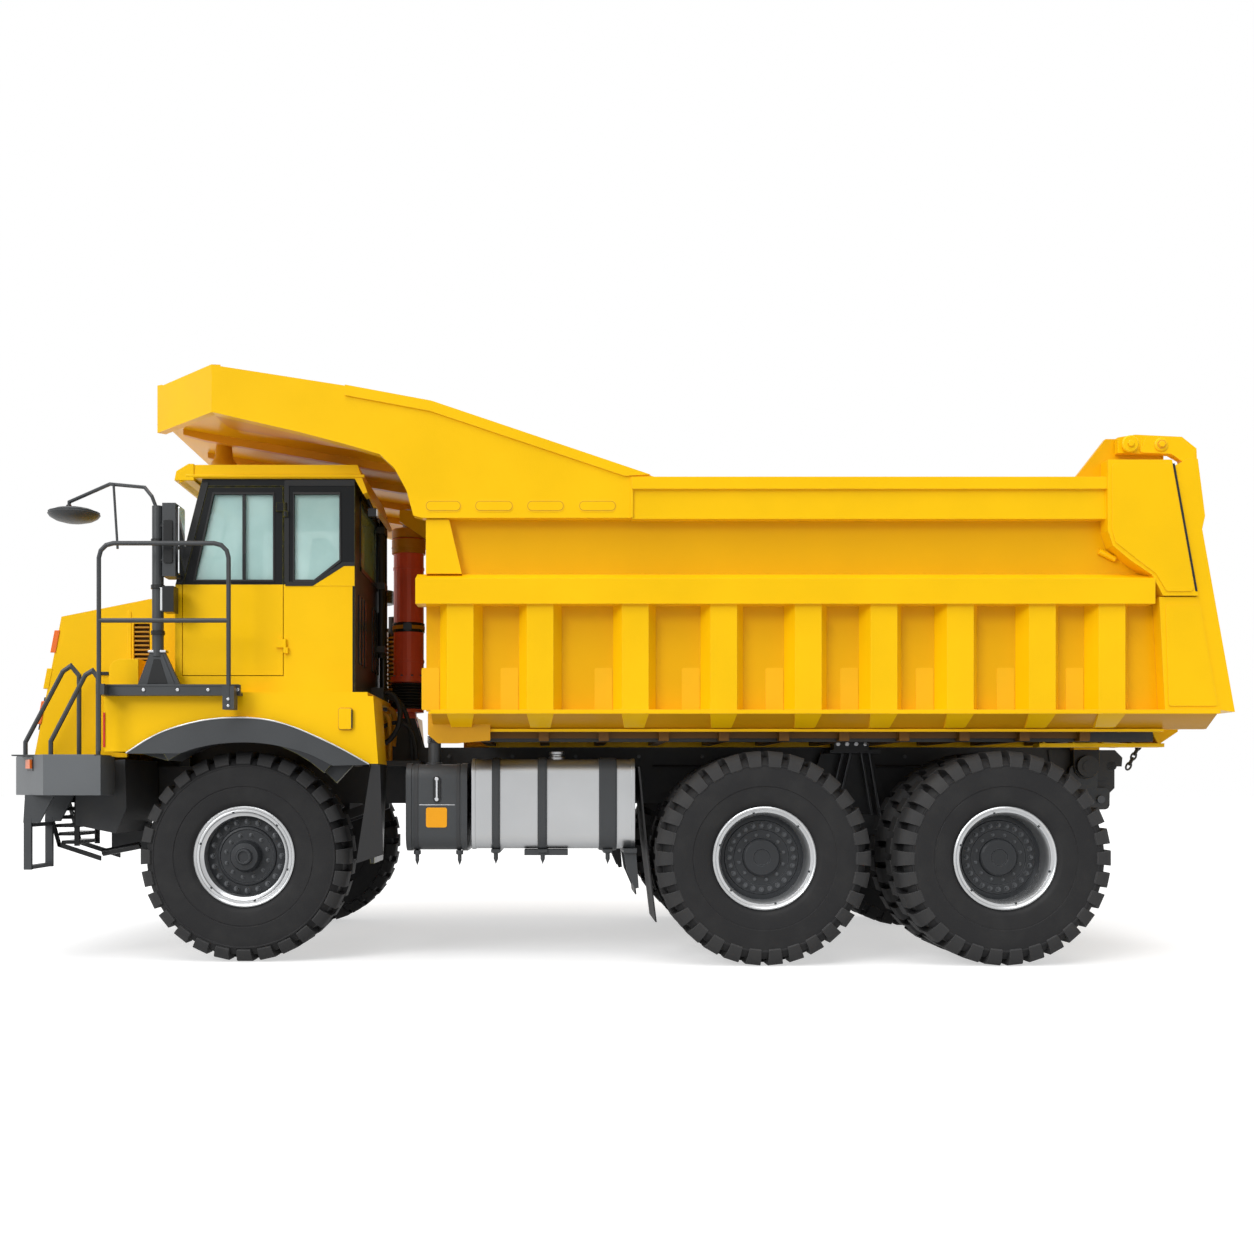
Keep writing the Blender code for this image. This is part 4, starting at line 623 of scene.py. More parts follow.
def bed_details(name, side):
    trim = Piece(side)
    # Sloping panel under the hem, in painted shade.
    low = [(1.76, 1.74), (1.905, 1.74), (1.742, 1.64), (1.7, 1.64)]
    trim.add(plate_x(low, bed_rear_x(1.7) + 0.02, 1.205), painted_shade_under_yellow)
    trim.add(plate_x([(1.89, 1.736), (1.922, 1.736), (1.922, 1.752), (1.89, 1.752)], bed_rear_x(1.74) + 0.012,
                     1.225), yellow)
    trim.add(box((-3.86, 1.205), (1.69, 1.762), (1.622, 1.641)), yellow)
    # Dark band below the sill, standing for the deep shade under the bed: painted shade in the chassis colour.
    trim.add(box((-3.86, 0.98), (1.56, 1.59), (1.556, 1.66)), chassis_paint)
    for front in RIB_FRONTS:
        foot = [(front + 0.004, 1.742), (front - RIB_WIDTH - 0.004, 1.742), (front - RIB_WIDTH + 0.02, 1.652),
                (front - 0.02, 1.652)]
        count = len(foot)
        points = [(x, 1.924 if z > 1.7 else 1.8, z) for x, z in foot] + [(x, 1.74, z - 0.006) for x, z in foot]
        faces = [[i, (i + 1) % count, (i + 1) % count + count, i + count] for i in range(count)]
        faces += [[0, 1, 2, 3], [7, 6, 5, 4]]
        trim.add((points, faces), yellow)
        # Thin lighter plate low in each bay, just ahead of the rib: a painted patch of light where the sun gets past
        # the rail and the rib.
        lit_patch = [(front + 0.062, 1.768), (front + 0.185, 1.768), (front + 0.185, 2.06), (front + 0.062, 2.06)]
        trim.add(plate_y(rounded(lit_patch, 0.012, 2), 1.8, 1.803), painted_light_bay_yellow)
    # Gusset under the bed's front corner, in painted shade.
    trim.add(plate_y([(1.24, 1.745), (0.809, 1.745), (0.809, 1.56), (1.04, 1.54), (1.17, 1.54), (1.24, 1.6)],
                     1.752, 1.79), painted_shade_under_yellow)
    trim.add(plate_y([(1.246, 3.072), (1.087, 3.072), (1.0, 2.7), (1.246, 2.7)], 1.8, 1.868), yellow)
    strip = [(1.796, 3.986), (1.204, 3.876), (-0.29, 3.372), (-0.115, 3.362), (1.215, 3.806), (1.796, 3.914)]
    trim.add(plate_y(strip, 1.888, 1.904), yellow)
    for rear, front in ((1.01, 1.239), (0.655, 0.901), (0.306, 0.545), (-0.05, 0.19)):
        trim.add(plate_y(pill((rear - 0.01, front + 0.01), (3.118, 3.2), 0.04), 1.888, 1.8925), yellow)
        # Thin darker ring round each raised slot: a painted shadow line.
        trim.add(plate_y(pill((rear - 0.005, front + 0.005), (3.125, 3.193), 0.032), 1.888, 1.8935), painted_shade_under_yellow)
        trim.add(plate_y(pill((rear, front), (3.13, 3.188), 0.028), 1.888, 1.894), yellow)
    trim.add(box((-0.172, -0.158), (1.888, 1.905), (3.08, 3.355)), yellow)
    trim.add(rod((-3.391, 1.815, 2.861), (-3.5, 1.815, 2.807), 0.02, 12), yellow)
    ear = [(-3.43, 3.44), (-3.836, 3.44), (-3.99, 2.57), (-3.8, 2.57), (-3.73, 2.69), (-3.585, 2.8),
           (-3.455, 2.905), (-3.43, 2.99)]
    trim.add(plate_y(rounded(ear, 0.025, 3), 1.928, 1.937), yellow)
    trim.add(plate_y([(-3.843, 3.44), (-3.858, 3.44), (-4.014, 2.57), (-3.999, 2.57)], 1.92, 1.932), black)
    corner = [(-3.8, 2.48), (-4.035, 2.48), (-4.155, 1.79), (-3.822, 1.79)]
    trim.add(plate_y(rounded(corner, 0.015, 2), 1.913, 1.922), yellow)
    for x in (1.246, 0.64, -0.03, -0.7, -1.37, -2.04, -2.71, -3.33):
        trim.add(box((x - 0.012, x + 0.012), (1.944, 1.9445), (2.5, 2.64)), yellow)
    for x in (-3.11, -3.32, -3.53, -3.74, -3.92):
        trim.add(plate_y([(x, 1.64), (x + 0.06, 1.64), (x + 0.012, 1.545), (x, 1.545)], 1.48, 1.56), yellow)
    trim.add(box((-3.95, -3.067), (1.44, 1.57), (1.52, 1.547)), yellow)
    # Beams under the bed, darkened into painted shadow.
    for z, y in ((1.64, 1.6), (1.64, 1.25), (1.64, 0.9)):
        trim.add(box((-3.4, 0.94), (y - 0.035, y + 0.035), (z - 0.06, z + 0.02)), painted_shadow_brown)
    for number in range(11):
        x = 0.86 - 0.42 * number
        trim.add(box((x - 0.035, x + 0.035), (0.56, 1.69), (1.56, 1.652)), painted_shadow_brown)
    trim.make(f"bed_trim_{name}", "bed", 0.003)


def canopy_underside():
    """Lengthwise beams under the canopy, with sloping side panels and two rest pads."""
    under = Piece()

    def below(x):
        return 3.6 + (x - 1.42) * 0.1714

    # Beams and sloping side panels under the canopy are coloured in painted shade.
    for y in (0.38, 1.08):
        for way in (1, -1):
            beam = [(1.44, below(1.44) + 0.01), (3.12, below(3.12) + 0.01), (3.12, below(3.12) - 0.04),
                    (2.96, below(2.96) - 0.055), (1.6, below(1.6) - 0.055), (1.44, below(1.44) - 0.04)]
            under.add(plate_y(beam, way * y - 0.035, way * y + 0.035), painted_shade_orange)
    arch = [(1.459, 3.418), (1.56, 3.514), (1.77, 3.576), (2.11, 3.665), (2.71, 3.802)]
    for _, side in SIDES:
        points = []
        for x, z in arch:
            inner_z = max(below(x) + 0.004, z)
            points += [(x, side * 1.8, z), (x, side * 1.35, inner_z), (x, side * 1.35, inner_z + 0.012),
                       (x, side * 1.8, z + 0.014)]
        faces = []
        for step in range(len(arch) - 1):
            base = 4 * step
            faces += [[base + i, base + (i + 1) % 4, base + 4 + (i + 1) % 4, base + 4 + i] for i in range(4)]
        faces += [[0, 1, 2, 3], [len(points) - 1, len(points) - 2, len(points) - 3, len(points) - 4]]
        under.add((points, faces), painted_shade_orange)
    under.make("canopy_beams", "bed", 0.004)
    pad = Piece()
    # The pad bodies are in painted shade too.
    for y in (0.9, -0.2):
        pad.add(turned([(0.0, 3.64), (0.088, 3.64), (0.1, 3.655), (0.094, 3.69), (0.07, 3.72), (0.055, 3.85),
                        (0.0, 3.85)], (2.87, y, 0.0), "Z", 32), painted_shade_orange)
        pad.add(turned([(0.0, 3.615), (0.08, 3.615), (0.088, 3.641), (0.0, 3.641)], (2.87, y, 0.0), "Z", 32),
                soft_rubber)
    pad.make("canopy_rest_pads", "bed")


def gate_hinges(name, side):
    """Bolted hinge heads on the tailgate's arms, and the arm plates with their bolted bosses."""
    heads = Piece(side)
    heads.add(turned([(0.0, 0.0), (0.058, 0.0), (0.058, 0.014), (0.05, 0.02), (0.0, 0.02)],
                     (-3.57, 1.886, 3.583), "Y", 32), yellow)
    heads.add(hexagon((-3.57, 1.905, 3.583), "Y", 0.024, 0.016), yellow)
    heads.make(f"gate_pin_{name}", "bed", 0.002)
    arms = Piece(side)
    arms.add(plate_y(rounded([(-3.64, 3.53), (-3.69, 3.64), (-3.93, 3.626), (-4.02, 3.545), (-4.035, 3.33),
                              (-3.965, 3.33), (-3.935, 3.47), (-3.86, 3.52)], 0.018, 3), 1.858, 1.872), yellow)
    for x, z, size in ((-3.79, 3.583, 0.046), (-3.962, 3.362, 0.036)):
        arms.add(turned([(0.0, 0.0), (size, 0.0), (size, 0.01), (size - 0.006, 0.014), (0.0, 0.014)],
                        (x, 1.871, z), "Y", 28), yellow)
        # Recessed ring round each boss, in painted shade.
        arms.add(disc(size - 0.014, 0.013, 0.017, (x, 1.871, z), "Y", 28), painted_shade_orange)
        arms.add(hexagon((x, 1.886, z), "Y", size * 0.5, 0.012), yellow)
    arms.make(f"gate_arm_{name}", "tailgate", 0.002)


def gate_back():
    """Frame and ribs on the outside of the tailgate."""
    back = Piece()

    def rear(z):
        return -4.06 - 0.224 * (3.0 - z) / 1.25

    for z0, z1 in ((1.8, 1.9), (2.35, 2.43), (2.88, 2.98)):
        rib = [(rear(z0) + 0.02, z0), (rear(z0) - 0.002, z0), (rear(z1) - 0.002, z1), (rear(z1) + 0.02, z1)]
        back.add(plate_y(rib, -1.86, 1.86), yellow)
    for y in (-1.83, -1.22, -0.61, 0.0, 0.61, 1.22, 1.83):
        z0, z1 = 1.79, 2.985
        rib = [(rear(z0) + 0.02, z0), (rear(z0) - 0.003, z0 + 0.03), (rear(z1) - 0.003, z1 - 0.03),
               (rear(z1) + 0.02, z1)]
        back.add(plate_y(rib, y - 0.04, y + 0.04), yellow)
    back.add(rod((-4.01, -1.84, 3.478), (-4.01, 1.84, 3.478), 0.022, 16), yellow)
    back.make("gate_ribs", "tailgate", 0.003)


for side_name, side_sign in SIDES:
    bed_details(side_name, side_sign)
    gate_hinges(side_name, side_sign)
canopy_underside()
gate_back()


# ---------------------------------------------------------------- fenders, deck and mirrors
def fender_details(name, side):
    flare = Piece(side)
    outer = curve([(3.34, 1.47, 0), (3.18, 1.572, 0), (3.02, 1.642, 0), (2.8, 1.697, 0), (2.577, 1.716, 0),
                   (2.36, 1.7, 0), (2.168, 1.647, 0), (1.9, 1.528, 0), (1.65, 1.392, 0)], 4)
    inner = curve([(1.905, 1.385, 0), (2.08, 1.47, 0), (2.263, 1.519, 0), (2.4, 1.541, 0), (2.54, 1.547, 0),
                   (2.7, 1.537, 0), (2.85, 1.508, 0), (2.967, 1.47, 0)], 4)
    outline = [(p.x, p.y) for p in outer + inner]
    flare.add(plate_y(outline, 1.699, 1.752), charcoal)
    lip = [(p.x, 1.752, p.y + 0.004) for p in outer]
    flare.add(pipe(lip, 0.006, 10), silver)
    panel = [(1.645, 1.392), (1.75, 0.704), (1.561, 0.766), (1.582, 1.392)]
    flare.add(plate_y(panel, 1.684, 1.702), soft_rubber)
    flare.make(f"wheel_flare_{name}", "chassis", 0.004)
    small = Piece(side)
    small.add(box((3.5, 3.513), (1.692, 1.708), (1.515, 1.757)), red_lens)
    small.add(plate_y(pill((1.772, 1.874), (1.634, 1.791), 0.018), 1.699, 1.704), brown_slat)
    small.add(plate_y(pill((1.778, 1.868), (1.64, 1.785), 0.015), 1.699, 1.722), yellow)
    small.add(box((1.772, 1.781), (1.699, 1.724), (1.648, 1.777)), black)
    for x in (3.207, 2.971, 2.76, 2.648, 2.556):
        small.add(hexagon((x, 1.78, 1.91), "Y", 0.013, 0.01), bright_steel)
    for z in (1.84, 1.795):
        small.add(hexagon((2.6, 1.869, z), "Y", 0.011, 0.009), bright_steel)
    small.add(box((2.545, 3.5), (1.776, 1.784), (1.935, 1.948)), charcoal)
    for row in range(7):
        small.add(box((2.56, 3.44), (1.612 + row * 0.02, 1.622 + row * 0.02), (1.899, 1.905)), charcoal)
    small.make(f"deck_fittings_{name}", "chassis", 0.0015)


def deck_left():
    deck = Piece()
    case = [(3.3, 1.9), (3.506, 1.9), (3.506, 2.08), (3.475, 2.125), (3.43, 2.141), (3.3, 2.141)]
    deck.add(plate_y(case, 1.24, 1.6), yellow)
    deck.add(box((3.5, 3.53), (1.3, 1.42), (1.985, 2.112)), black)
    deck.add(plate_y([(3.01, 1.95), (3.25, 1.95), (3.18, 2.17), (3.1, 2.17)], 1.66, 1.706), charcoal)
    deck.add(plate_y([(3.062, 1.958), (3.205, 1.958), (3.16, 2.13), (3.115, 2.13)], 1.704, 1.709), black)
    deck.add(box((3.075, 3.2), (1.64, 1.712), (2.176, 2.192)), bright_steel)
    for z in (2.3, 2.62, 2.94):
        deck.add(disc(0.048, z, z + 0.03, (3.138, 1.68, 0), "Z", 24),
                 black)
    deck.add(plate_y(rounded([(3.012, 2.79), (3.075, 2.79), (3.075, 3.09), (3.012, 3.09)], 0.012, 2),
                     1.758, 1.772), black)
    deck.add(rod((3.04, 1.72, 2.82), (3.13, 1.69, 2.82), 0.014, 10), black)
    deck.add(rod((3.04, 1.72, 3.06), (3.13, 1.69, 3.06), 0.014, 10), black)
    deck.add(box((3.0, 3.08), (1.66, 1.78), (2.45, 2.63)), black)
    deck.add(box((3.08, 3.096), (1.668, 1.772), (2.46, 2.62)), lamp_glass)
    deck.add(rod((3.04, 1.72, 2.54), (3.13, 1.69, 2.54), 0.012, 10), black)
    deck.make("deck_equipment", "chassis", 0.004)
    glass_face = Piece()
    glass_face.add(plate_x(rounded([(1.608, 2.715), (1.752, 2.715), (1.752, 3.19), (1.608, 3.19)], 0.02, 3),
                           2.969, 2.976), mirror_silver)
    glass_face.make("mirror_glasses", "chassis")
    dome = Piece()
    dome.add(turned([(0.0, 3.138), (0.07, 3.142), (0.13, 3.158), (0.168, 3.18), (0.182, 3.2), (0.168, 3.216),
                     (0.13, 3.234), (0.07, 3.247), (0.0, 3.25)], (3.825, 1.4, 0.0), "Z", 48), charcoal)
    dome.make("round_mirror_bowl", "chassis")
    joint = Piece()
    joint.add(turned([(0.0, 3.215), (0.018, 3.222), (0.026, 3.245), (0.018, 3.268), (0.0, 3.275)],
                     (3.862, 1.4, 0), "Z", 20), black)
    joint.add(pipe([(3.47, 1.615, 3.374), (3.445, 1.64, 3.1), (3.42, 1.68, 2.905)], 0.009, 8), charcoal)
    joint.make("mirror_strut", "chassis")


for side_name, side_sign in SIDES:
    fender_details(side_name, side_sign)
deck_left()


# ---------------------------------------------------------------- cab
def frame_strip(piece, outline, y, width, depth, material):
    """Flat frame round an opening, as mitred strips on the outline's outer side."""
    count = len(outline)
    centre = Vector((sum(p[0] for p in outline) / count, sum(p[1] for p in outline) / count))
    for index in range(count):
        a, b = Vector(outline[index]), Vector(outline[(index + 1) % count])
        out_a = a + (a - centre).normalized() * width
        out_b = b + (b - centre).normalized() * width
        piece.add(plate_y([tuple(a), tuple(b), tuple(out_b), tuple(out_a)], y, y + depth), material)


def cab_details():
    shell = Piece()
    side_window = [(2.06, 2.7), (2.2, 2.7), (2.2, 3.3), (1.882, 3.3), (1.882, 2.84)]
    frame_strip(shell, side_window, 1.598, 0.018, 0.01, soft_rubber)
    shell.add(plate_y([(1.7745, 2.655), (1.7745, 2.796), (1.848, 2.796), (2.07, 2.655)], 1.598, 1.6035), yellow)
    shell.add(plate_y([(2.262, 2.655), (2.262, 2.684), (2.074, 2.684), (1.858, 2.822), (1.7745, 2.822),
                       (1.7745, 2.796), (1.848, 2.796), (2.07, 2.655)], 1.598, 1.606), black)
    shell.add(box((1.774, 2.262), (1.599, 1.606), (3.36, 3.402)), black)
    shell.add(plate_y([(2.985, 2.672), (3.035, 2.672), (2.853, 3.385), (2.803, 3.385)], 1.599, 1.606), black)
    shell.add(box((2.236, 2.268), (1.599, 1.607), (2.68, 3.395)), black)
    for z in (2.22, 3.18):
        shell.add(rod((2.262, 1.614, z - 0.038), (2.262, 1.614, z - 0.004), 0.013, 12), black if z > 3 else yellow)
    shell.make("cab_window_frame", "chassis", 0.0015)
    roof = Piece()
    roof.add(box((1.7, 2.96), (1.61, 1.632), (3.416, 3.436)), yellow)
    roof.add(plate_y([(3.04, 3.392), (3.026, 3.46), (2.94, 3.512), (2.9, 3.512), (2.9, 3.392)],
                     0.19, 1.63), yellow)
    for y in (0.48, 0.91, 1.34):
        roof.add(box((1.9, 2.8), (y - 0.03, y + 0.03), (3.5, 3.516)), yellow)
    roof.make("cab_roof_trim", "chassis", 0.006)
    lamps = Piece()
    lamps.add(box((1.64, 1.7), (1.38, 1.48), (3.17, 3.23)), black)
    lamps.add(box((1.63, 1.641), (1.388, 1.472), (3.176, 3.224)), lamp_glass)
    lamps.add(rod((1.67, 1.43, 3.225), (1.72, 1.43, 3.33), 0.012, 8), black)
    lamps.make("cab_rear_lamp", "chassis", 0.003)
    back = Piece()
    for y in (0.42, 0.56, 0.7, 1.12, 1.26, 1.4):
        back.add(plate_x(rounded([(y - 0.035, 2.12), (y + 0.035, 2.12), (y + 0.035, 2.62), (y - 0.035, 2.62)],
                                 0.02, 2), 1.764, 1.773), black)
    for y in ((0.3, 0.344), (1.316, 1.36)):
        back.add(box((1.766, 1.774), y, (2.8, 3.34)), black)
    for z in ((2.8, 2.836), (3.304, 3.34)):
        back.add(box((1.766, 1.774), (0.3, 1.36), z), black)
    back.make("cab_rear_panels", "chassis", 0.002)
    wiper = Piece()
    wiper.add(pipe([(3.052, 0.9, 2.69), (3.02, 0.82, 2.82), (2.9, 0.64, 3.29)], 0.008, 8), black)
    wiper.add(pipe([(2.995, 0.56, 2.93), (2.88, 0.76, 3.38)], 0.006, 8), soft_rubber)
    wiper.add(rod((3.02, 0.9, 2.68), (3.062, 0.9, 2.69), 0.018, 12), black)
    wiper.make("wiper", "chassis")
    door = Piece()
    window = [(2.35, 2.7), (2.9, 2.7), (2.766, 3.3), (2.35, 3.3)]
    frame_strip(door, window, 1.598, 0.018, 0.009, soft_rubber)
    door.add(box((2.544, 2.566), (1.58, 1.604), (2.702, 3.298)), black)
    door.make("door_trim", "cab_door", 0.0015)


cab_details()

# ---------------------------------------------------------------- hood and bumper
def slope_x(z):
    """X of the hood's front face at height z."""
    return 4.19 - 0.2 * (z - 1.456) / 1.034


def front_block(y, z, low, high):
    """Block on the hood's slanted front face, from low to high in front of it."""
    return plate_y([(slope_x(z[0]) + low, z[0]), (slope_x(z[0]) + high, z[0]), (slope_x(z[1]) + high, z[1]),
                    (slope_x(z[1]) + low, z[1])], *y)


def hood_details():
    face = Piece()
    for way in (1, -1):
        def span(low, high):
            return (low, high) if way > 0 else (-high, -low)
        face.add(front_block(span(0.87, 1.18), (1.66, 1.9), -0.01, 0.02), black)
        for y in (0.945, 1.1):
            face.add(turned([(0.0, slope_x(1.78) + 0.012), (0.064, slope_x(1.78) + 0.012),
                             (0.068, slope_x(1.78) + 0.03), (0.05, slope_x(1.78) + 0.036),
                             (0.0, slope_x(1.78) + 0.042)], (0.0, way * y, 1.78), "X", 32), lamp_glass)
        face.add(front_block(span(1.12, 1.207), (1.7, 1.87), -0.005, 0.026), amber)
        face.add(front_block(span(1.12, 1.207), (2.225, 2.39), -0.01, 0.03), amber)
        face.add(front_block(span(1.06, 1.204), (1.96, 2.11), -0.01, 0.032), yellow)
    face.add(front_block((-0.86, 0.86), (1.6, 1.636), -0.004, 0.014), charcoal)
    face.add(front_block((-0.86, 0.86), (2.314, 2.35), -0.004, 0.014), charcoal)
    for y in ((-0.86, -0.822), (0.822, 0.86)):
        face.add(front_block(y, (1.63, 2.32), -0.004, 0.014), charcoal)
    face.add(front_block((-0.8, 0.8), (1.65, 2.3), -0.09, -0.07), soft_rubber)
    for y in (-0.4, 0.0, 0.4):
        face.add(front_block((y - 0.012, y + 0.012), (1.645, 2.305), -0.022, 0.006), charcoal)
    face.make("hood_front", "chassis", 0.004)
    sides = Piece()
    for way in (1, -1):
        near, far = (1.15, 1.196) if way > 0 else (-1.196, -1.15)
        for row in range(8):
            z = 2.175 + row * 0.033
            sides.add(plate_y([(3.345, z), (3.455, z), (3.455, z + 0.012), (3.345, z + 0.012)], near, far),
                    brown_slat)
    # Backing plate behind the louvres, in painted shadow.
    sides.add(plate_y([(3.336, 2.156), (3.464, 2.156), (3.464, 2.444), (3.336, 2.444)], 1.11, 1.14), painted_shadow_brown)
    sides.make("hood_louvres", "chassis", 0.001)
    lines = Piece()
    for way in (1, -1):
        y = (1.198, 1.206) if way > 0 else (-1.206, -1.198)
        lines.add(plate_y([(3.475, 1.96), (3.505, 1.96), (3.505, 2.52), (3.49, 2.54), (3.475, 2.52)], *y), yellow)
        lines.add(box((3.64, 3.72), (1.198, 1.212) if way > 0 else (-1.212, -1.198), (2.06, 2.084)), black)
    lines.add(plate_z(rounded([(2.05, -1.05), (2.95, -1.05), (2.95, 0.06), (2.05, 0.06)], 0.04, 3),
                      2.619, 2.628), yellow)
    lines.add(plate_z(rounded([(3.36, -0.9), (3.88, -0.9), (3.88, 0.9), (3.36, 0.9)], 0.04, 3),
                      2.47, 2.5), yellow)
    lines.make("hood_panels", "chassis", 0.003)


def bumper():
    shell = Piece()
    plan = [(4.283, -1.3), (4.283, 1.3), (3.915, 1.75), (3.516, 1.75), (3.516, 1.45), (3.9603, 0.8),
            (3.9603, -0.8), (3.516, -1.45), (3.516, -1.75), (3.915, -1.75)]
    shell.add(plate_z(plan, 1.18, 1.456), bumper_paint)
    inset = [(4.2825, -1.29), (4.2825, 1.29), (3.917, 1.7495), (3.56, 1.7495), (3.56, 1.7), (4.2, 1.1),
             (4.2, -1.1), (3.56, -1.7), (3.56, -1.7495), (3.917, -1.7495)]
    shell.add(plate_z(inset, 1.4555, 1.464), bumper_paint)
    for way in (1, -1):
        y0, y1 = (1.16, 1.56) if way > 0 else (-1.56, -1.16)
        for y in (y0, y1):
            hanger = [(3.905, 1.182), (4.112, 1.182), (4.124, 0.985), (4.01, 0.985)]
            shell.add(plate_y(hanger, y - 0.012, y + 0.012), charcoal)
            shell.add(box((4.066, 4.12), (y - 0.014, y + 0.014), (0.652, 1.02)), charcoal)
        for z in (0.655, 0.955):
            for x in (4.066, 4.1):
                shell.add(box((x, x + 0.022), (y0, y1), (z, z + 0.026)), charcoal)
        normal = Vector((0.774, 0.633 * way, 0.0))
        along = Vector((-0.633, 0.774 * way, 0.0))
        middle = Vector((4.08, 1.548 * way, 0.0))
        corners = [middle + along * a + normal * n for a, n in ((-0.045, -0.01), (0.045, -0.01), (0.045, 0.022),
                                                                 (-0.045, 0.022))]
        shell.add(plate_z([(c.x, c.y) for c in corners], 1.368, 1.432), amber)
        corners = [middle + along * a + normal * n for a, n in ((-0.06, -0.01), (0.06, -0.01), (0.06, 0.006),
                                                                 (-0.06, 0.006))]
        shell.add(plate_z([(c.x, c.y) for c in corners], 1.352, 1.448), black)
        lo, hi = (0.64, 1.08) if way > 0 else (-1.08, -0.64)
        for row in range(6):
            z = 1.124 - row * 0.062
            shell.add(plate_y([(3.91, z), (4.15 - 0.022 * row, z), (4.14 - 0.022 * row, z + 0.026),
                               (3.91, z + 0.026)], lo, hi), black)
        for y in (0.64, 1.08):
            for brace in ([(3.9, 1.182), (3.935, 1.182), (3.935, 0.8), (3.9, 0.8)],
                          [(4.14, 1.182), (4.17, 1.182), (4.06, 0.8), (4.035, 0.8)],
                          [(4.06, 0.83), (4.06, 0.795), (3.74, 0.69), (3.74, 0.725)]):
                shell.add(plate_y(brace, way * y - 0.012, way * y + 0.012), black)
        near_y, far_y = (0.5, 1.3) if way > 0 else (-1.3, -0.5)
        shell.add(plate_y([(3.85, 1.4), (3.49, 1.44), (3.48, 1.08), (3.56, 0.9), (3.85, 0.96)],
                          near_y, far_y), chassis_paint)
        shell.add(box((3.5, 3.8), (near_y + 0.1, near_y + 0.16), (0.76, 0.96)), chassis_paint)
        shell.add(rod((3.48, way * 0.98, 0.8), (3.76, way * 0.98, 0.745), 0.028, 12), black)
        shell.add(turned([(0.0, 4.27), (0.055, 4.27), (0.06, 4.281), (0.0, 4.2825)], (0.0, way * 0.7, 1.32),
                         "X", 24), charcoal)
    for y in (-1.1, -0.35, 0.35, 1.1):
        shell.add(hexagon((4.272, y, 1.4), "X", 0.016, 0.01), nut_grey)
        shell.add(hexagon((4.272, y, 1.24), "X", 0.016, 0.01), nut_grey)
    shell.add(box((3.9, 4.2), (-0.9, 0.9), (1.12, 1.182)), chassis_paint)
    shell.make("front_bumper_assembly", "chassis", 0.006, ("front_bumper",))


# ---------------------------------------------------------------- hoist and behind the cab
HOIST_X = 1.57


def ring(z0, z1, radius, x=HOIST_X, facets=48):
    return disc(radius, z0, z1, (x, 0.0, 0.0), "Z", facets)


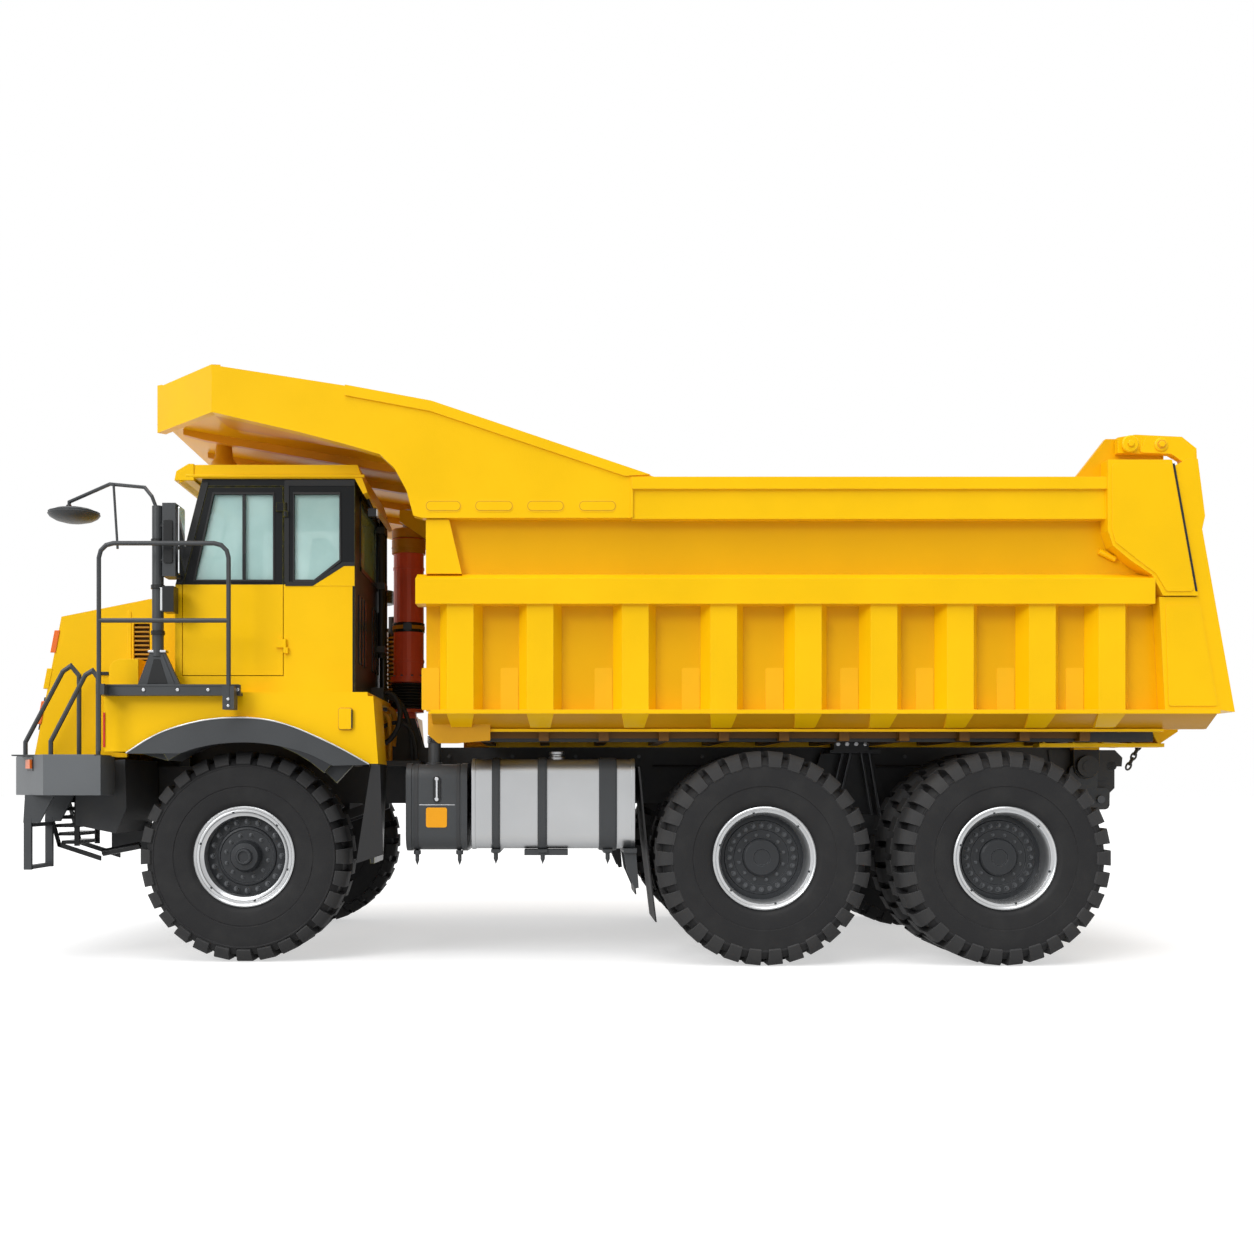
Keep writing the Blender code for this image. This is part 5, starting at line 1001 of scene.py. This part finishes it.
def hoist_details():
    barrel = Piece()
    bellows = [(0.105, 1.872)]
    for row in range(9):
        z = 1.88 + row * 0.024
        bellows += [(0.146, z + 0.004), (0.146, z + 0.01), (0.128, z + 0.018)]
    bellows += [(0.105, 2.098)]
    barrel.add(turned(bellows, (HOIST_X, 0.0, 0.0), "Z", 48), soft_rubber)
    barrel.add(ring(2.098, 2.142, 0.15), red_paint)
    for number in range(10):
        angle = 2 * math.pi * number / 10
        barrel.add(disc(0.01, 2.142, 2.154, (HOIST_X + 0.135 * math.cos(angle), 0.135 * math.sin(angle), 0.0),
                "Z", 6), nut_grey)
    barrel.add(turned([(0.1245, 2.505), (0.131, 2.508), (0.131, 2.582), (0.1245, 2.585)], (HOIST_X, 0.0, 0.0),
                      "Z", 48), black)
    barrel.add(turned([(0.1245, 2.528), (0.1325, 2.53), (0.1325, 2.56), (0.1245, 2.562)], (HOIST_X, 0.0, 0.0),
                      "Z", 48), orange_paint)
    barrel.add(box((HOIST_X - 0.04, HOIST_X + 0.03), (0.12, 0.142), (2.518, 2.572)), black)
    barrel.add(turned([(0.1245, 3.15), (0.138, 3.154), (0.138, 3.262), (0.13, 3.2695), (0.112, 3.2695),
                       (0.112, 3.15)], (HOIST_X, 0.0, 0.0), "Z", 48), orange_paint)
    barrel.add(turned([(0.1245, 3.195), (0.141, 3.198), (0.141, 3.208), (0.1245, 3.211)], (HOIST_X, 0.0, 0.0),
                      "Z", 48), orange_paint)
    for z in (2.26, 3.02):
        barrel.add(ring(z, z + 0.022, 0.1285), red_paint)
    barrel.make("hoist_barrel_trim", "hoist_barrel", 0.0015)
    head = Piece()
    head.add(turned([(0.11, 3.274), (0.138, 3.276), (0.138, 3.344), (0.128, 3.354), (0.066, 3.354), (0.066, 3.334),
                     (0.11, 3.334)], (HOIST_X, 0.0, 0.0), "Z", 48), orange_paint)
    head.make("hoist_head_ring", "hoist_stage_3", 0.0015)
    plumbing = Piece()
    plumbing.add(rod((1.736, 0.33, 1.96), (1.736, 0.33, 3.39), 0.03, 16), black)
    plumbing.add(rod((1.736, 0.44, 2.26), (1.736, 0.44, 3.3), 0.026, 16), soft_rubber)
    for z in (2.3, 2.8, 3.24):
        plumbing.add(box((1.708, 1.774), (0.29, 0.48), (z, z + 0.05)), chassis_paint)
    plumbing.add(pipe(curve([(1.85, 0.52, 1.868), (1.76, 0.52, 1.868), (1.69, 0.5, 1.862),
                             (1.64, 0.48, 1.83), (1.63, 0.47, 1.74), (1.64, 0.47, 1.56)]), 0.022, 12),
                 orange_paint)
    plumbing.add(pipe(curve([(1.85, 0.6, 1.83), (1.74, 0.6, 1.826), (1.67, 0.6, 1.79),
                             (1.65, 0.6, 1.7), (1.655, 0.56, 1.42)]), 0.018, 12), orange_paint)
    for x, y, z in ((1.8, 0.52, 1.868), (1.7, 0.506, 1.864), (1.74, 0.6, 1.826)):
        plumbing.add(disc(0.032, x - 0.016, x + 0.016, (0.0, y, z), "X", 16), nut_grey)
    plumbing.add(pipe(curve([(1.72, 0.64, 1.958), (1.66, 0.66, 1.968), (1.6, 0.67, 1.93),
                             (1.562, 0.675, 1.83), (1.58, 0.67, 1.7), (1.64, 0.65, 1.61),
                             (1.72, 0.6, 1.56)]), 0.02, 12), soft_rubber)
    plumbing.add(pipe(curve([(1.48, 0.56, 1.45), (1.49, 0.56, 1.62), (1.52, 0.56, 1.78),
                             (1.58, 0.56, 1.9), (1.7, 0.56, 1.95)]), 0.018, 12), soft_rubber)
    plumbing.add(pipe(curve([(1.44, 0.62, 1.45), (1.455, 0.62, 1.6), (1.5, 0.62, 1.7),
                             (1.6, 0.6, 1.74), (1.74, 0.56, 1.7)]), 0.016, 12), soft_rubber)
    plumbing.add(box((1.68, 1.772), (0.46, 0.76), (1.9, 2.0)), chassis_paint)
    plumbing.add(box((1.4, 1.7), (0.45, 0.72), (1.4, 1.44)), chassis_paint)
    plumbing.make("hoist_plumbing", "chassis")


# ---------------------------------------------------------------- tanks
def tank_band(piece, x, z, out, material, y=(0.75, 1.5), corner=0.11):
    """Band round a tank, standing out by a little on every side."""
    shape = rounded([(y[0] - out, z[0] - out), (y[1] + out, z[0] - out), (y[1] + out, z[1] + out),
                     (y[0] - out, z[1] + out)], corner + out, 6)
    piece.add(plate_x(shape, *x), material)


def tank_details():
    fuel_z = (0.795, 1.437)
    fuel = Piece()
    tank_band(fuel, (-0.207, 0.954), fuel_z, 0.0, aluminium)
    for x in ((0.93, 0.957), (-0.21, -0.183)):
        tank_band(fuel, x, fuel_z, 0.006, aluminium)
    for x in ((0.753, 0.812), (0.418, 0.486), (-0.08, 0.048)):
        tank_band(fuel, x, fuel_z, 0.011, charcoal)
        tank_band(fuel, (x[0] + 0.012, x[1] - 0.012), fuel_z, 0.014, charcoal)
    for share in (0.2, 0.8):
        at = -0.207 + 1.161 * share
        fuel.add(box((at - 0.03, at + 0.03), (0.4505, 0.85), (1.13, 1.25)), charcoal)
    fuel.add(turned([(0.0, 1.425), (0.06, 1.425), (0.06, 1.455), (0.048, 1.458), (0.048, 1.47), (0.056, 1.474),
                     (0.056, 1.494), (0.046, 1.497), (0.0, 1.497)], (0.35, 1.3, 0.0), "Z", 32), aluminium)
    fuel.add(box((0.31, 0.39), (1.294, 1.306), (1.49, 1.4965)), bright_steel)
    for x in (0.786, 0.45, -0.016):
        fuel.add(turned([(0.0, 0.682), (0.006, 0.7), (0.016, 0.722), (0.016, 0.762), (0.03, 0.766), (0.03, 0.79),
                         (0.0, 0.79)], (x, 1.43, 0.0), "Z", 12), charcoal)
        fuel.add(box((x - 0.034, x + 0.034), (0.8, 1.46), (0.768, 0.792)), charcoal)
    fuel.add(box((0.269, 0.582), (1.3, 1.44), (0.748, 0.79)), charcoal)
    fuel.make("fuel_tank_assembly", "chassis", 0.003, ("fuel_tank",))
    oil_z = (0.787, 1.401)
    oil = Piece()
    oil_x = (0.99, 1.423)
    tank_band(oil, oil_x, oil_z, 0.0, charcoal)
    for x in ((1.386, 1.425), (0.988, 1.028)):
        tank_band(oil, x, oil_z, 0.008, charcoal)
    for x in ((1.338, 1.372), (1.04, 1.066)):
        tank_band(oil, x, oil_z, 0.005, chassis_paint)
    for share in (0.2, 0.8):
        at = oil_x[0] + 0.433 * share
        oil.add(box((at - 0.03, at + 0.03), (0.4505, 0.85), (1.13, 1.25)), charcoal)
    oil.add(turned([(0.0, 1.395), (0.062, 1.395), (0.062, 1.412), (0.047, 1.416), (0.047, 1.56), (0.0, 1.56)],
                   (1.238, 1.3, 0.0), "Z", 32), charcoal)
    for row in range(6):
        z = 1.556 + row * 0.009
        oil.add(disc(0.052, z, z + 0.006, (1.238, 1.3, 0.0), "Z", 32),
                black)
    oil.add(plate_y(pill((1.176, 1.232), (1.128, 1.316), 0.026), 1.498, 1.509), black)
    oil.add(rod((1.204, 1.512, 1.16), (1.204, 1.512, 1.285), 0.01, 12), bright_steel)
    oil.add(disc(0.014, 1.507, 1.518, (1.204, 0.0, 1.295), "Y", 12),
            bright_steel)
    oil.add(disc(0.014, 1.507, 1.518, (1.204, 0.0, 1.15), "Y", 12),
            bright_steel)
    oil.add(box((1.075, 1.33), (1.499, 1.502), (1.108, 1.113)), bright_steel)
    oil.add(plate_y(pill((1.131, 1.281), (0.949, 1.091), 0.016), 1.499, 1.505), plate_orange)
    for x in (1.35, 1.046):
        oil.add(turned([(0.0, 0.676), (0.006, 0.69), (0.014, 0.712), (0.014, 0.752), (0.026, 0.756), (0.026, 0.784),
                        (0.0, 0.784)], (x, 1.43, 0.0), "Z", 12), charcoal)
    oil.make("hydraulic_tank_assembly", "chassis", 0.003, ("hydraulic_tank",))
    cover = Piece(-1)
    for x in (0.2, 0.56, 0.98, 1.35):
        cover.add(box((x, x + 0.05), (1.496, 1.508), (0.94, 1.32)), charcoal)
    cover.add(box((0.17, 1.41), (1.496, 1.51), (1.13, 1.16)), charcoal)
    for x in (0.4, 1.18):
        cover.add(box((x, x + 0.06), (1.5, 1.522), (1.3, 1.352)), bright_steel)
    cover.make("battery_box_cover", "chassis", 0.004)


# ---------------------------------------------------------------- running gear
def running_gear(name, side):
    gear = Piece(side)
    for top, low in (((-1.874, 1.518), (-1.811, 1.255)), ((-1.936, 1.518), (-1.864, 1.205)),
                     ((-2.014, 1.518), (-2.11, 0.96)), ((-2.076, 1.518), (-2.165, 0.985))):
        gear.add(rod((top[0], 0.62, top[1]), (low[0], 0.62, low[1]), 0.013, 12), nut_grey)
    gear.add(box((-2.15, -1.76), (0.45, 0.7), (1.5, 1.524)), charcoal)
    for x in (-1.82, -1.89, -1.96, -2.03):
        gear.add(hexagon((x, 0.7, 1.57), "Y", 0.018, 0.014), bright_steel)
    gear.add(box((-2.06, -1.79), (0.56, 0.702), (1.524, 1.612)), charcoal)
    gear.add(plate_y([(-1.72, 1.5), (-2.11, 1.5), (-2.22, 1.18), (-2.15, 0.9), (-1.68, 0.9),
                      (-1.61, 1.18)], 0.52, 0.545), chassis_paint)
    for x in (1.2, 0.7, 0.2, -0.3, -0.8, -1.3, -2.4, -2.9, -3.2):
        for z in (1.18, 1.48):
            gear.add(hexagon((x, 0.45, z), "Y", 0.016, 0.01), nut_grey)
    gear.add(rod((-0.3, 0.53, 1.33), (1.45, 0.53, 1.33), 0.014, 8), soft_rubber)
    gear.add(rod((-3.3, 0.49, 1.4), (-0.4, 0.49, 1.4), 0.012, 8), soft_rubber)
    gear.add(box((-0.22, -0.124), (0.98, 1.54), (0.77, 0.8)), charcoal)
    for y in (1.01, 1.5):
        gear.add(plate_y([(-0.124, 0.8), (-0.215, 0.8), (-0.235, 0.52), (-0.205, 0.514), (-0.15, 0.64)],
                         y, y + 0.016), charcoal)
    bracket = [(-3.53, 1.53), (-4.055, 1.53), (-4.115, 1.47), (-4.11, 1.4), (-4.055, 1.4), (-4.0, 1.29),
               (-3.56, 1.285)]
    gear.add(plate_y(bracket, 0.452, 0.468), chassis_paint)
    gear.add(plate_y(rounded([(-3.673, 1.412), (-3.895, 1.412), (-3.895, 1.205), (-3.673, 1.205)], 0.05, 4),
                     0.452, 0.53), charcoal)
    gear.add(plate_y(pill((-4.07, -3.99), (1.37, 1.44), 0.034), 0.453, 0.4695), black)
    gear.add(plate_y(rounded([(-3.77, 1.23), (-4.01, 1.23), (-4.01, 1.06), (-3.83, 1.06)], 0.04, 4),
                     0.3, 0.48), charcoal)
    gear.add(rod((-3.935, 0.29, 1.14), (-3.935, 0.5, 1.14), 0.03, 20), nut_grey)
    gear.add(box((-4.052, -4.04), (0.08, 0.27), (1.17, 1.28)), black)
    gear.add(box((-4.058, -4.051), (0.09, 0.17), (1.18, 1.27)), amber)
    gear.add(box((-4.058, -4.051), (0.18, 0.26), (1.18, 1.27)), red_lens)
    gear.make(f"running_gear_{name}", "chassis", 0.002)


def link_of_chain(centre, along, across, long, wide, wire):
    """One oval link whose two axes are given as unit vectors."""
    steps, corners = 16, 8
    flat = along.cross(across)
    path = []
    for step in range(steps):
        angle = 2 * math.pi * step / steps
        path.append(centre + across * (wide * math.cos(angle)) + along * (long * math.sin(angle)))
    points = []
    faces = []
    for step in range(steps):
        ahead = (path[(step + 1) % steps] - path[step - 1]).normalized()
        side = ahead.cross(flat)
        for corner in range(corners):
            angle = 2 * math.pi * corner / corners
            points.append(path[step] + side * (wire * math.cos(angle)) + flat * (wire * math.sin(angle)))
            beyond = (corner + 1) % corners
            after = (step + 1) % steps * corners
            faces.append([step * corners + corner, step * corners + beyond, after + beyond, after + corner])
    return points, faces


def tow_chain():
    """Short chain that hangs from the bed's rear sill, from a small block at its top."""
    chain = Piece()
    top, end = Vector((-4.168, 0.64, 1.552)), Vector((-4.09, 0.64, 1.4))
    along = (end - top).normalized()
    sideways = Vector((0.0, 1.0, 0.0))
    for number in range(5):
        across = sideways if number % 2 else along.cross(sideways)
        chain.add(link_of_chain(top.lerp(end, number / 4), along, across, 0.03, 0.018, 0.008), charcoal)
    chain.add(box((-4.18, -4.11), (0.6, 0.68), (1.57, 1.592)), chassis_paint)
    chain.make("safety_chain", "bed")


def right_deck():
    deck = Piece(-1)
    for z in (2.05, 2.25, 2.45, 2.65):
        deck.add(disc(0.176, z, z + 0.018, (2.0, 1.45, 0.0), "Z", 40),
                 charcoal)
    for row in range(7):
        z = 2.955 + row * 0.014
        deck.add(disc(0.134, z, z + 0.007, (2.0, 1.45, 0.0), "Z", 40),
                 black)
    for row in range(14):
        z = 2.06 + row * 0.038
        deck.add(disc(0.06, z, z + 0.018, (1.8, 0.9, 0.0), "Z", 24),
                 bright_steel)
    deck.make("intake_and_exhaust_trim", "chassis", 0.0015)


hood_details()
bumper()
hoist_details()
tank_details()
for side_name, side_sign in SIDES:
    running_gear(side_name, side_sign)
tow_chain()
right_deck()

# ---------------------------------------------------------------- CAD nodes that show as they are
FINISHES = {
    yellow: ("hood", "cab_roof", "bed_canopy", "bed_front_wall",
             "tailgate"),
    chassis_paint: ("chassis_frame", "engine_block", "front_axle", "knuckle_left", "knuckle_right", "rear_axles",
                    "battery_box"),
    charcoal: ("air_cleaner", "deck_rail_left", "deck_rail_right", "exhaust_stack", "grab_rails", "grille",
               "mirror_left", "mirror_right", "hydraulic_tank"),
    bumper_paint: ("front_bumper",),
    soft_rubber: ("mudflap_left", "mudflap_right"),
    aluminium: ("fuel_tank",),
    bright_steel: ("hoist_stage_1", "hoist_stage_2", "hoist_stage_3"),
    red_paint: ("hoist_barrel",),
    glass: ("door_glass", "rear_glass", "right_glass", "side_glass", "windscreen"),
    trim_plastic: ("dashboard", "steering_wheel"),
    seat_cloth: ("driver_seat",),
}
CAB_BLACK = (0.007, 0.008, 0.009)
FLARE_GREY = (0.03, 0.032, 0.035)
ARCH_ZONES = ((above("z", 1.4, True), FLARE_GREY), (near(2.56, 0.745, 0.945), FLARE_GREY),
              (both(above("z", 1.475, True), above("x", 2.9)), FLARE_GREY))
OWN = {
    "bed_floor": yellow_finish("bed_floor_paint", 0.3, WORN_YELLOW,
                               ((both(above("z", 1.53, True), above("x", -3.5, True)), FLARE_GREY),)),
    # Inboard of the rib faces, the bed sides' recessed wall gets painted shade in a darker yellow.
    "bed_side_left": yellow_finish("bed_left_paint", 0.3, WORN_YELLOW, ((above("y", 1.806, True), RECESS_PAINTED_SHADE),)),
    "bed_side_right": yellow_finish("bed_right_paint", 0.3, WORN_YELLOW, ((above("y", -1.806), RECESS_PAINTED_SHADE),)),
    "cab_body": yellow_finish("cab_body_paint", zones=((above("z", 2.665), CAB_BLACK),
                                                       (above("x", 1.79, True), CAB_BLACK))),
    "cab_door": yellow_finish("cab_door_paint", zones=((above("z", 2.665), CAB_BLACK),)),
    "fender_left": yellow_finish("fender_left_paint", zones=ARCH_ZONES),
    "fender_right": yellow_finish("fender_right_paint", zones=ARCH_ZONES),
}
for finish, names in FINISHES.items():
    for node_name in names:
        OWN[node_name] = finish
for node_name, finish in OWN.items():
    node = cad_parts[node_name]
    for place in range(len(node.material_slots)):
        node.material_slots[place].link = "OBJECT"
        node.material_slots[place].material = finish
    if node_name not in ("door_glass", "rear_glass", "right_glass", "side_glass", "windscreen"):
        soften(node, 0.004, 2)


# ---------------------------------------------------------------- floor, light and camera
def floor_material():
    made, tree, shader = tree_of("studio_floor")
    where = tree.nodes.new("ShaderNodeTexCoord").outputs["Object"]
    link(tree, colour_mix(tree, noise(tree, where, 0.4), (0.54, 0.54, 0.54), (0.56, 0.56, 0.56)),
         shader.inputs["Base Color"])
    shader.inputs["Roughness"].default_value = 0.9
    rays = tree.nodes.new("ShaderNodeLightPath")
    seen = number_node(tree, "MAXIMUM", rays.outputs["Is Camera Ray"], rays.outputs["Is Transmission Ray"])
    seen = number_node(tree, "MAXIMUM", seen, rays.outputs["Is Glossy Ray"])
    glow = tree.nodes.new("ShaderNodeEmission")
    glow.inputs["Color"].default_value = (1.0, 1.0, 1.0, 1.0)
    link(tree, number_node(tree, "MULTIPLY", seen, FLOOR_LIFT), glow.inputs["Strength"])
    total = tree.nodes.new("ShaderNodeAddShader")
    link(tree, shader.outputs[0], total.inputs[0])
    link(tree, glow.outputs[0], total.inputs[1])
    link(tree, total.outputs[0], tree.nodes["Material Output"].inputs["Surface"])
    return made


FLOOR_LIFT = 0.56
FLOOR_HALF = 150.0
floor_mesh = bpy.data.meshes.new("studio_floor")
floor_mesh.from_pydata([(-FLOOR_HALF, -FLOOR_HALF, 0), (FLOOR_HALF, -FLOOR_HALF, 0), (FLOOR_HALF, FLOOR_HALF, 0),
                        (-FLOOR_HALF, FLOOR_HALF, 0)], [], [(0, 1, 2, 3)])
floor_mesh.materials.append(floor_material())
floor = bpy.data.objects.new("studio_floor", floor_mesh)
bpy.context.scene.collection.objects.link(floor)

world = bpy.data.worlds.new("studio")
bpy.context.scene.world = world
world.use_nodes = True
sky = world.node_tree
backdrop = sky.nodes["Background"]
rays = sky.nodes.new("ShaderNodeLightPath")
white = number_node(sky, "MAXIMUM", rays.outputs["Is Camera Ray"], rays.outputs["Is Transmission Ray"])
white = number_node(sky, "MAXIMUM", white, rays.outputs["Is Glossy Ray"])
AMBIENT = 0.37
level = sky.nodes.new("ShaderNodeMapRange")
link(sky, white, level.inputs["Value"])
level.inputs["To Min"].default_value = AMBIENT
level.inputs["To Max"].default_value = 1.0
link(sky, level.outputs["Result"], backdrop.inputs["Strength"])
backdrop.inputs["Color"].default_value = (1.0, 1.0, 1.0, 1.0)


def sun(name, towards, strength, spread):
    """Soft distant lamp, so that the floor is lit evenly as far as it goes."""
    data = bpy.data.lights.new(name, "SUN")
    data.energy = strength
    data.angle = math.radians(spread)
    made = bpy.data.objects.new(name, data)
    made.rotation_euler = (-Vector(towards)).to_track_quat("-Z", "Y").to_euler()
    bpy.context.scene.collection.objects.link(made)


sun("top_light", (1.0, 3.0, 9.0), 2.1, 50.0)
sun("key_light", (6.0, 8.0, 5.0), 1.45, 25.0)

camera_data = bpy.data.cameras.new("camera")
camera_data.sensor_width = 36.0
camera_data.lens = 38.67
camera_data.shift_x = 0.055
camera_data.shift_y = 0.128
camera_data.clip_end = 500.0
camera = bpy.data.objects.new("camera", camera_data)
camera.location = (0.34, 11.1, 1.234)
camera.rotation_euler = (math.radians(90), 0.0, math.radians(180))
bpy.context.scene.collection.objects.link(camera)
bpy.context.scene.camera = camera

scene = bpy.context.scene
scene.view_settings.view_transform = "Standard"

bpy.context.view_layer.update()
